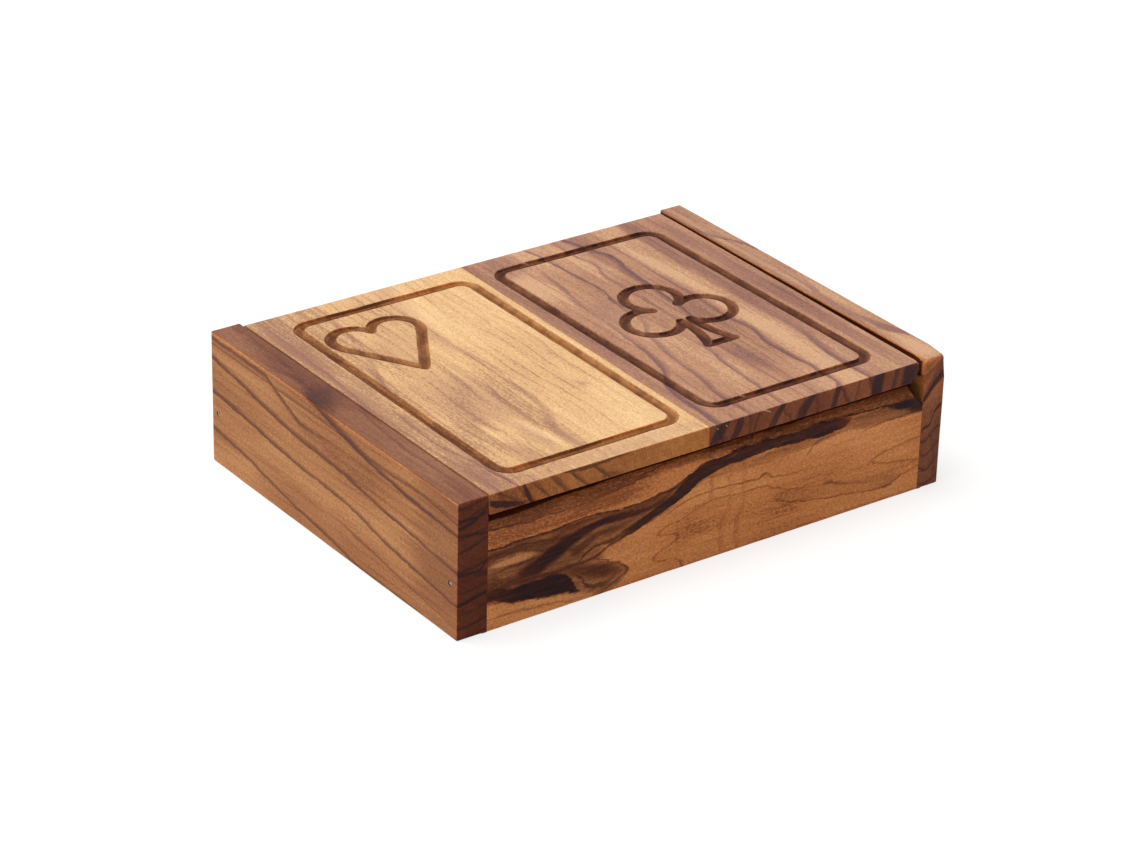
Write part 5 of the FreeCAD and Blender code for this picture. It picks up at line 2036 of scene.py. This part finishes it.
FRONT_END = OliveWood(
    name="front_wall_board", face=Face.FRONT, surface=0, grain=Grain.ALONG_X,
    tones=((0.98, 0.42, 0.152), (0.78, 0.285, 0.094), (0.39, 0.12, 0.04)),
    vein_tone=(0.017, 0.005, 0.008), shade_tone=(0.16, 0.13, 0.2), sheen=0.08,
    shades=(
        band(((8, 15.9, 8, 0.8), (20, 14.6, 8.9, 0.85), (30, 13.9, 9.7, 0.9),
            (38, 13.2, 10.8, 0.8), (43, 12.4, 11.4, 0.72), (45.5, 12.3, 11.4, 0.4),
            (47, 12.5, 11, 0)), fade=0.07),
        band(((42, 19.6, 4.6, 0), (45, 19.1, 4.9, 0.7), (52, 19, 4.3, 0.75), (60, 20.3, 3.4, 0.8),
            (66, 21.8, 2.9, 0.8), (72, 24, 2.4, 0.6), (78, 26, 2, 0.3), (82, 27, 1.6, 0)),
            fade=0.12),
        band(((42, 4.6, 5.2, 0), (45, 5, 5, 0.75), (48, 4.8, 4.2, 0.75), (51, 4.6, 2.9, 0.7),
            (53, 4.6, 1.5, 0.6), (54.2, 4.6, 0.6, 0)), fade=0.2),
        # Painted shade: this band darkens the bevel under the lid's front edge.
        band(((8, 31.6, 2.9, 0.6), (30, 31.4, 2.8, 0.6), (45, 31.8, 2.5, 0.55),
            (60, 32.1, 2.2, 0.5), (80, 32.1, 2.2, 0.55), (100, 32.2, 2.2, 0.62),
            (115, 31.9, 2.4, 0.6), (153, 31.9)), fade=0.2),
        band(((78, 25.3, 1.2, 0), (84, 25.2, 1.3, 0.3), (98, 24.9, 1.4, 0.3), (112, 25, 1.4, 0.4),
            (120, 26, 1.4, 0.35), (128, 26.6, 1.9, 0.5), (138, 26.6, 2.2, 0.65),
            (153, 26.2, 2.2, 0.8)), fade=0.2),
        band(((102, 11.5, 0.6, 0), (105, 11.4, 1.8, 0.16), (118, 9.5, 2.2, 0.2),
            (132, 7.5, 2.3, 0.2), (142, 5.6, 1.8, 0.35), (146, 5.6, 0.6, 0)), fade=0.3),
    ),
    veins=(
        band(((50, 15.4, 0.9, 0), (56, 16.8, 1.3, 0.86), (60, 18.4, 1.3, 0.9), (66, 20.7),
            (70, 22.6, 2.1, 0.95), (74, 25, 2.4, 0.97), (78, 27, 2.1, 0.97), (82, 27.7, 1.6, 0.97),
            (88, 27.8, 1.3, 0.97), (92, 28.3, 1.6, 0.97), (98, 28.7), (106, 28.1, 1.5, 0.97),
            (112, 28.1, 1.7, 0.97), (118, 27.8, 2, 0.97), (124, 27.8, 1.6, 0.9),
            (127.5, 28.4, 0.3, 0)), fade=0.14),
        band(((58, 16.8, 0.5, 0), (66, 19.6, 0.6, 0.9), (72, 22, 0.7, 1), (78, 25.6),
            (86, 27, 0.6, 1), (98, 27.6), (108, 27), (118, 26.4, 0.7, 1), (125, 27.2, 0.4, 0))),
        band(((68, 24.4, 0.3, 0), (74, 27, 0.4, 1), (84, 29), (96, 29.8), (110, 29.2),
            (124, 28.9, 0.3, 0.6), (127, 28.6, 0.3, 0))),
        band(((18, 13.2, 1.2, 0), (21, 13.8, 1.9, 0.8), (25, 14.6, 2.5, 0.92),
            (28, 16.3, 2.7, 0.97), (32, 17.8, 2.5, 0.97), (36, 19.4, 1.8, 0.95),
            (40, 20.5, 1.3, 0.92), (46, 21.5, 1.1, 0.92), (52, 21.2, 0.9, 0.85),
            (58, 20.8, 0.8, 0.7), (64, 22, 0.8, 0.6), (68, 23.8, 0.8, 0)), fade=0.45),
        band(((34, 17, 0.8, 0), (37, 15.4, 1.4, 0.6), (40, 16.6, 1.3, 0.55), (44, 18.3, 0.9, 0.5),
            (50, 18.4, 0.8, 0.4), (56, 19.4, 0.6, 0)), fade=0.6),
        band(((8, 21, 1, 0.55), (16, 21.3, 0.9, 0.5), (26, 20.4, 0.8, 0.45), (34, 22.4, 0.8, 0.4),
            (44, 23.2, 0.6, 0.35), (52, 22.6, 0.5, 0)), fade=0.7),
        band(((8, 13.2, 1.5, 0.5), (14, 12.4, 1.3, 0.55), (20, 11.9, 1.1, 0.6),
            (26, 11.6, 0.8, 0)), fade=0.7),
        band(((8, 10.2, 1.5, 0.85), (13, 9.6, 2.1, 0.9), (17, 8.3, 2.2, 0.95), (21, 8.1, 2.6, 1),
            (26, 7.6, 3.2, 1), (30, 7.5, 3.4, 1), (33, 7, 3.1, 1), (35, 5.6, 2.3, 1),
            (37, 3.6, 0.8, 0.9), (38.5, 3, 0.3, 0)), fade=0.17),
        band(((31, 12.8, 1.2, 0), (36, 10.4, 1.4, 0.45), (40, 8.4, 2, 0.6), (45, 6.8, 2, 0.75),
            (48, 6.2, 1.6, 0.6), (52, 5.2, 0.9, 0)), fade=0.7),
        band(((36, 8.6, 0.4, 0), (38, 7, 0.5, 0.7), (40, 4.6, 0.6, 0.7), (43, 2.8),
            (47, 3, 0.5, 0.6), (50, 4.4, 0.4, 0)), fade=0.6),
        Vein(((36, 10, 0.4, 0), (38, 11.6, 0.6, 0.6), (40, 13.6, 0.6, 0.75), (43, 14.9, 0.5, 0.75),
            (47, 15, 0.5, 0.7), (53, 16.2, 0.6, 0.5), (58, 17.5, 0.5, 0))),
        Vein(((41, 11.6, 0.5, 0.6), (44, 12.4, 0.5, 0.75), (48, 14.2, 0.5, 0.8), (53, 15.4),
            (60, 17.2, 0.5, 0.7), (66, 18.6, 0.4, 0.4), (72, 20.6, 0.3, 0)), bleed=-1),
        Vein(((33, 15.2, 0.4, 0), (37, 16.2, 0.5, 0.5), (42, 18.2, 0.5, 0.55),
            (50, 18.8, 0.5, 0.5), (58, 19.2, 0.4, 0))),
        Vein(((0.2, 44.5, 0.6, 0.6), (1.5, 47.5), (3, 51.2), (4.5, 53.4), (6.5, 52.2), (8.5, 48.4),
            (10.5, 45.2), (12, 42, 0.6, 0)), bleed=-1, face=Face.RISING),
        Vein(((8, 24.3, 0.35, 0.95), (12, 23.5, 0.4, 0.95), (20, 23.6), (30, 23.6),
            (40, 24.3, 0.4, 0.9), (46, 23.9, 0.4, 0.85), (52, 23), (60, 23.7, 0.45, 0.8),
            (66, 24.2, 0.5, 0.8), (70, 25.2, 0.5, 0.7), (74, 27.2, 0.4, 0)), bleed=-1),
        Vein(((8, 21.9, 0.4, 0.5), (20, 22.1, 0.4, 0.6), (26, 21.3, 0.5, 0.6), (33, 20.8),
            (38, 21.6, 0.4, 0))),
        Vein(((9, 18.6, 0.3, 0.3), (12, 20.3, 0.35, 0.6), (17, 20.7, 0.35, 0.65),
            (22, 20.3, 0.4, 0.65), (26, 18.8, 0.4, 0.5), (30, 18.3, 0.4, 0))),
        Vein(((10, 16.2, 0.35, 0.3), (15, 16.7, 0.4, 0.6), (20, 16.9, 0.5, 0.65),
            (25, 17.4, 0.5, 0.5), (28, 18, 0.5, 0)), bleed=-1),
        Vein(((8, 14.6, 0.8, 0.6), (10.5, 14.9, 0.8, 0.5), (13, 14, 0.6, 0.4),
            (18, 13.6, 0.5, 0.3), (22, 13.6, 0.5, 0))),
        Vein(((8, 29.2, 0.3, 0.5), (15, 28.9, 0.3, 0.55), (30, 28.4), (40, 28.7, 0.3, 0.5),
            (50, 29.6, 0.3, 0.45), (60, 30.6, 0.3, 0.4), (72, 31.4), (88, 31.2, 0.35, 0.5),
            (96, 31.3), (108, 30.6, 0.3, 0))),
        Vein(((8, 3.2, 0.35, 0.35), (16, 3.4, 0.4, 0.4), (24, 2.4, 0.4, 0.35), (34, 1.4, 0.4, 0.3),
            (42, 0.2, 0.4, 0.2))),
        Vein(((0, 72, 0.8, 0.5), (2.5, 70, 0.8, 0.45), (4, 64.5, 0.8, 0.42), (5.5, 62), (7, 64),
            (8.2, 68), (9.5, 69.5), (11, 67, 0.8, 0.4), (12, 63), (13.2, 64),
            (14.2, 70, 0.8, 0.36), (15.5, 74, 0.8, 0.34), (17, 80, 0.8, 0.2)), face=Face.RISING),
        Vein(((64, 16.8, 0.3, 0), (70, 18.9, 0.3, 0.5), (76, 20, 0.3, 0.55), (84, 20.2),
            (92, 19.6, 0.3, 0.5), (96, 19.3, 0.35, 0.6), (98, 20.2, 0.5, 0.75),
            (99.5, 19.6, 0.35, 0.5), (101.5, 18.4, 0.3, 0.5), (107, 17.8), (111, 17.9, 0.3, 0.4),
            (114, 18.6, 0.3, 0)), bleed=-1),
        Vein(((74, 16.2, 0.35, 0), (82, 17.2, 0.35, 0.28), (90, 16.6, 0.35, 0.32),
            (97, 16.5, 0.35, 0.4), (102, 14.9), (106, 13.6, 0.35, 0.3), (116, 12, 0.3, 0)),
            bleed=-1),
        Vein(((102, 11.6, 0.5, 0), (103.5, 10.6, 0.6, 0.45), (106, 9.6, 0.45, 0.5),
            (110, 8.5, 0.4, 0.55), (118, 6.6), (128, 5.3, 0.35, 0.45), (136, 4.1, 0.4, 0.45),
            (141, 3.8, 0.5, 0.55), (145, 5.4, 0.4, 0.4), (153, 7.3, 0.35, 0.35))),
        Vein(((134, 13, 0.5, 0), (136, 14, 0.45, 0.42), (139, 15.3, 0.4, 0.45),
            (143, 15.8, 0.35, 0.42), (153, 16.7, 0.35, 0.35)), bleed=-1),
        Vein(((134, 13.6, 0.5, 0), (136, 12.8, 0.45, 0.4), (139, 11.6, 0.4, 0.4), (145, 10.5),
            (153, 8.6, 0.5, 0.45))),
        Vein(((118, 11.2, 0.4, 0), (121, 11.3, 0.6, 0.55), (123, 10.4, 0.6, 0.5),
            (127, 9.2, 0.5, 0.3), (132, 7.8, 0.5, 0.25), (136, 7, 0.5, 0))),
        Vein(((112, 21.6, 0.5, 0), (113.5, 23, 0.6, 0.4), (115, 24.4, 0.5, 0.45),
            (119, 25.2, 0.35, 0.35), (126, 25.6, 0.3, 0)), bleed=-1),
        Vein(((130, 23.2, 0.3, 0), (134, 24, 0.3, 0.4), (140, 24.5, 0.3, 0.45),
            (153, 24.4, 0.35, 0.5)), bleed=-1),
        band(((123, 29.7, 0.25, 0), (127, 29.5, 0.28, 0.95), (133, 29.2), (139, 29, 0.3, 0.95),
            (141, 28.7, 0.7, 0.95), (144, 28.2, 1.2, 1), (147, 27.7, 1.9, 1),
            (150, 26.6, 2.2, 0.95), (153, 25.8, 1.8, 0.9)), fade=0.5),
        Vein(((0, 84.5, 1, 0.1), (7, 83.6, 1, 0.16), (14, 86.4, 1, 0.1)), face=Face.RISING),
        Vein(((0, 90.5, 1, 0.1), (7, 88.8, 1.2, 0.18), (14, 91, 1, 0.1)), face=Face.RISING),
    ),
    # Darker wood towards the top of the face; on the bevel, above its foot, this darkening is also
    # painted shade under the lid.
    swell=((0, 0.02), (20, 0), (23.5, 0.02), (26, 0.2), (29.5, 0.3), (33.6, 0.3)),
    stains=(Smudge((17, 11.8), (9, 1.2), 0, 0.35), Smudge((33, 26.3), (28, 2), 2, 0.1),
        Smudge((58, 22.2), (9, 1.2), 8, 0.4)),
    lights=(Smudge((17, 18.5), (8, 1.5), -2, 0.4), Smudge((140, 19.5), (16, 4), 0, 0.14),
        Smudge((60, 9.5), (10, 5), 0, 0.12)),
    wander=0.85, fray=2.2, speckle=1.2, indoors=(1, 4.8, 6.2, (0.6, 0.76, 1)), ring_spacing=4.4,
    ring_waves=1.5, ring_strength=0.08, arch=(174, 13, 6), seed=171, contrast=0.6,
)

BACK_END = OliveWood(
    name="back_wall_board", face=Face.FRONT, surface=120, grain=Grain.ALONG_X,
    tones=((0.64, 0.31, 0.125), (0.5, 0.215, 0.085), (0.31, 0.12, 0.05)),
    vein_tone=(0.09, 0.035, 0.025),
    veins=(
        Vein(((0, 9, 0.7, 0.7), (30, 11, 0.9, 0.8), (62, 16, 1.2, 0.85), (95, 18, 1, 0.8),
            (130, 24, 0.9, 0.8), (160, 27, 0.8, 0.7)), tilt=0.2),
        Vein(((0, 23, 0.6, 0.5), (45, 25, 0.7, 0.7), (90, 28, 0.8, 0.7), (160, 34, 0.7, 0.5))),
        Vein(((40, 2, 0.7, 0.4), (90, 6, 0.9, 0.7), (160, 12, 0.8, 0.7)), bleed=-1),
    ),
    stains=(Smudge((112, 11), (16, 3), 5, 0.6),),
    wander=1, ring_spacing=2.8, ring_waves=2.2, seed=219, contrast=0.5,
)

FLOOR = OliveWood(
    name="floor_board_wood", face=Face.TOP, surface=4, grain=Grain.ALONG_X,
    tones=((0.68, 0.42, 0.2), (0.58, 0.32, 0.14), (0.44, 0.21, 0.09)),
    vein_tone=(0.16, 0.07, 0.04), wander=1, ring_spacing=4.2, ring_waves=4, seed=307, contrast=0.6,
    roughness=0.6,
)

DIVIDER = OliveWood(
    name="divider_wood_grain", face=Face.SIDE, surface=78.4, grain=Grain.ALONG_Y,
    tones=((0.66, 0.38, 0.17), (0.54, 0.27, 0.12), (0.38, 0.16, 0.07)),
    vein_tone=(0.13, 0.06, 0.04),
    veins=(
        Vein(((0, 12, 0.6, 0.5), (60, 14, 0.8, 0.6), (120, 19, 0.7, 0.5))),
    ),
    wander=0.9, ring_spacing=3, ring_waves=2, seed=411, contrast=0.5, roughness=0.55,
)


# The whole box and its studio
@dataclass(frozen=True)
class CardBox:
    """The whole box."""

    walls: tuple[Union[SideWall, EndWall], ...]
    divider: Divider
    boards: tuple[LidBoard, ...]
    floor: OliveWood = FLOOR
    steel: DrawnSteel = DrawnSteel()

    def build(self) -> None:
        """Build and dress every piece."""
        slots = {"left_wall": "side_wall_wood", "right_wall": "side_wall_wood"}
        for wall in self.walls:
            install(wall.build(), wall.node, "case", slots.get(wall.node, "end_wall_wood"),
                    wall.wood.build())
        install(self.divider.build(), self.divider.node, "case", "floor_wood",
                self.divider.wood.build())
        for board, slot in zip(self.boards, ("pale_lid_wood", "dark_lid_wood")):
            install(board.build(), board.node, "lid", slot, board.wood.build())
        steel = self.steel.build()
        self.dress("floor_board", self.floor.build())
        for node in ("corner_brads", "hinge_pin_left", "hinge_pin_right"):
            self.dress(node, steel)

    def dress(self, node: str, material: bpy.types.Material) -> None:
        """Give a CAD node's slots a finish."""
        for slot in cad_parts[node].material_slots:
            slot.material = material
        log.info("%s: %s", node, material.name)


@dataclass(frozen=True)
class Studio:
    """The camera, the lamps, the white surroundings and the floor.

    Attributes:
        camera_place: of the lens, in millimetres in the frame.
        camera_right: the picture's right.
        camera_down: the picture's down.
        lens: focal length on a sensor of 36 mm.
        sky: strength of the surrounding light.
        key: watts of the large lamp.
        key_place: its middle, in metres in the frame.
        key_size: its width in metres.
        floor_size: in metres.
    """

    camera_place: tuple[float, float, float] = (-550.31, -745.35, 482.31)
    camera_right: tuple[float, float, float] = (0.81244343, -0.58254534, 0.02401242)
    camera_down: tuple[float, float, float] = (-0.24579381, -0.37955965, -0.89191921)
    lens: float = 119.38
    sky: float = 0.42
    key: float = 9.5
    key_place: tuple[float, float, float] = (-0.28, 0.14, 1.1)
    key_size: float = 0.8
    floor_size: float = 6.0

    def build(self) -> None:
        """Set up everything round the box."""
        self.camera()
        self.world()
        self.lamp()
        self.floor()
        bpy.context.scene.view_settings.view_transform = "Standard"

    def camera(self) -> None:
        """Place the camera: its axes are the picture's right, up and back."""
        data = bpy.data.cameras.new("camera")
        data.lens, data.sensor_width, data.sensor_fit = self.lens, 36.0, "HORIZONTAL"
        data.clip_start = 0.01
        right, up = np.array(self.camera_right), -np.array(self.camera_down)
        bpy.context.scene.camera = self.stand(data, (right, up, np.cross(right, up)),
                                              np.array(self.camera_place) / MM_PER_METRE)

    def stand(self, data: bpy.types.ID, axes: Sequence[np.ndarray],
              place: np.ndarray) -> bpy.types.Object:
        """Stand a camera or a lamp in its place.

        Args:
            data: the camera or the lamp.
            axes: its own right, up and back.
            place: in metres in the frame.

        Returns:
            Its object.
        """
        thing = bpy.data.objects.new(data.name, data)
        pose = np.eye(4)
        pose[:3, :3] = np.stack(axes, axis=1)
        pose[:3, 3] = place
        thing.matrix_world = Matrix(pose.tolist())
        bpy.context.scene.collection.objects.link(thing)
        return thing

    def two_looks(self, tree: bpy.types.NodeTree, kind: str, lit: bpy.types.NodeSocket,
                  shown: bpy.types.NodeSocket) -> None:
        """Give surroundings one look for the rays that see them, which come from the camera, in
        gloss or through glass, and another for the rays that light the box.

        Args:
            tree: the nodes of the surroundings.
            kind: of their output node.
            lit: the shader that lights the box.
            shown: the shader that is seen.
        """
        mix = tree.nodes.new("ShaderNodeMixShader")
        output = tree.nodes.new(kind)
        path = tree.nodes.new("ShaderNodeLightPath")
        seen = path.outputs["Is Camera Ray"]
        for label in ("Is Glossy Ray", "Is Transmission Ray"):
            either = tree.nodes.new("ShaderNodeMath")
            either.operation = "MAXIMUM"
            tree.links.new(seen, either.inputs[0])
            tree.links.new(path.outputs[label], either.inputs[1])
            seen = either.outputs[0]
        for source, target in zip((seen, lit, shown, mix.outputs[0]),
                                  (*mix.inputs, output.inputs["Surface"])):
            tree.links.new(source, target)

    def world(self) -> None:
        """A white surround that lights the box at a plain level."""
        world = bpy.data.worlds.new("studio")
        world.use_nodes = True
        tree = world.node_tree
        tree.nodes.clear()
        plain, white = (tree.nodes.new("ShaderNodeBackground") for _ in range(2))
        plain.inputs["Color"].default_value = (1.0, 0.985, 0.965, 1.0)
        plain.inputs["Strength"].default_value = self.sky
        white.inputs["Color"].default_value = (1.0, 1.0, 1.0, 1.0)
        self.two_looks(tree, "ShaderNodeOutputWorld", plain.outputs[0], white.outputs[0])
        bpy.context.scene.world = world

    def lamp(self) -> None:
        """One large soft lamp that looks at the box."""
        data = bpy.data.lights.new("key", "AREA")
        data.shape, data.size, data.energy = "DISK", self.key_size, self.key
        data.color = (1.0, 0.985, 0.96)
        place = np.array(self.key_place)
        back = place / np.linalg.norm(place)
        right = np.cross((0.0, 1.0, 0.0), back)
        right /= np.linalg.norm(right)
        self.stand(data, (right, np.cross(back, right), back), place)

    def floor(self) -> None:
        """A plain pale floor that looks white and keeps the box's shadow."""
        half = self.floor_size / 2
        corners = [(-half, -half, 0), (half, -half, 0), (half, half, 0), (-half, half, 0)]
        mesh = bpy.data.meshes.new("studio_floor")
        mesh.from_pydata(corners, [], [(0, 1, 2, 3)])
        floor = bpy.data.objects.new("studio_floor", mesh)
        bpy.context.scene.collection.objects.link(floor)
        material = bpy.data.materials.new("white_paper")
        material.use_nodes = True
        tree = material.node_tree
        tree.nodes.clear()
        lit, shown, glow = (tree.nodes.new(f"ShaderNode{kind}") for kind in
                            ("BsdfDiffuse", "BsdfDiffuse", "Emission"))
        lit.inputs["Color"].default_value = (0.56, 0.55, 0.54, 1.0)
        shown.inputs["Color"].default_value = (0.36, 0.36, 0.36, 1.0)
        glow.inputs["Strength"].default_value = 0.72
        paper = tree.nodes.new("ShaderNodeAddShader")
        tree.links.new(shown.outputs[0], paper.inputs[0])
        tree.links.new(glow.outputs[0], paper.inputs[1])
        self.two_looks(tree, "ShaderNodeOutputMaterial", lit.outputs[0], paper.outputs[0])
        mesh.materials.append(material)


def card_box() -> CardBox:
    """The box with all its sizes."""
    return CardBox(
        walls=(
            SideWall("left_wall", 1, LEFT_SIDE),
            SideWall("right_wall", -1, RIGHT_SIDE, worn=2.0,
                     nicks=(Nick((152.6, 0.8, 39.1), 0.7, (0.7, 0.1, -0.4)),)),
            EndWall("front_wall", FRONT_END, 1, lid_shade=(1.0, 1.7),
                    chip=((3.6, 33.6), (3.2, 30.3), (2.1, 28.7), (0.0, 26.5))),
            BackWall("back_wall", BACK_END, -1, bevel=(0.0, 3.4)),
        ),
        divider=Divider(DIVIDER),
        boards=(
            LidBoard(
                "lid_board_heart", PALE_BOARD,
                card=((19.0, 7.8), (75.5, 8.2), (76.7, 109.3), (19.7, 109.6)),
                suit=tuple(heart(36.584, 93.9, 6.9, 20.0, 24.1)),
                suit_box=(20.5, 66.8, 52.6, 103.2), edges=(9.6, 79.0), skews=(0.0, 1.9),
                holds=((11.0, 12.0), (78.55, 78.7)), pin_side=-1,
            ),
            LidBoard(
                "lid_board_club", DARK_BOARD,
                card=((85.7, 8.9), (141.2, 9.1), (141.3, 108.8), (86.0, 109.4)),
                suit=tuple(club(113.5, 58.8, 7.9, 34.4, 24.0, 4.4, 19.1, 32.0)),
                suit_box=(94.3, 37.2, 133.1, 82.2), edges=(79.0, 151.25), skews=(1.9, 0.0),
                holds=((80.5, 83.5), (144.0, 147.0)), pin_side=1, end_radii=(1.8, 2.4),
                mesh_step=0.28,
            ),
        ),
    )


def main() -> None:
    """Build the box and its studio."""
    card_box().build()
    Studio().build()


if __name__ == "__main__":
    main()
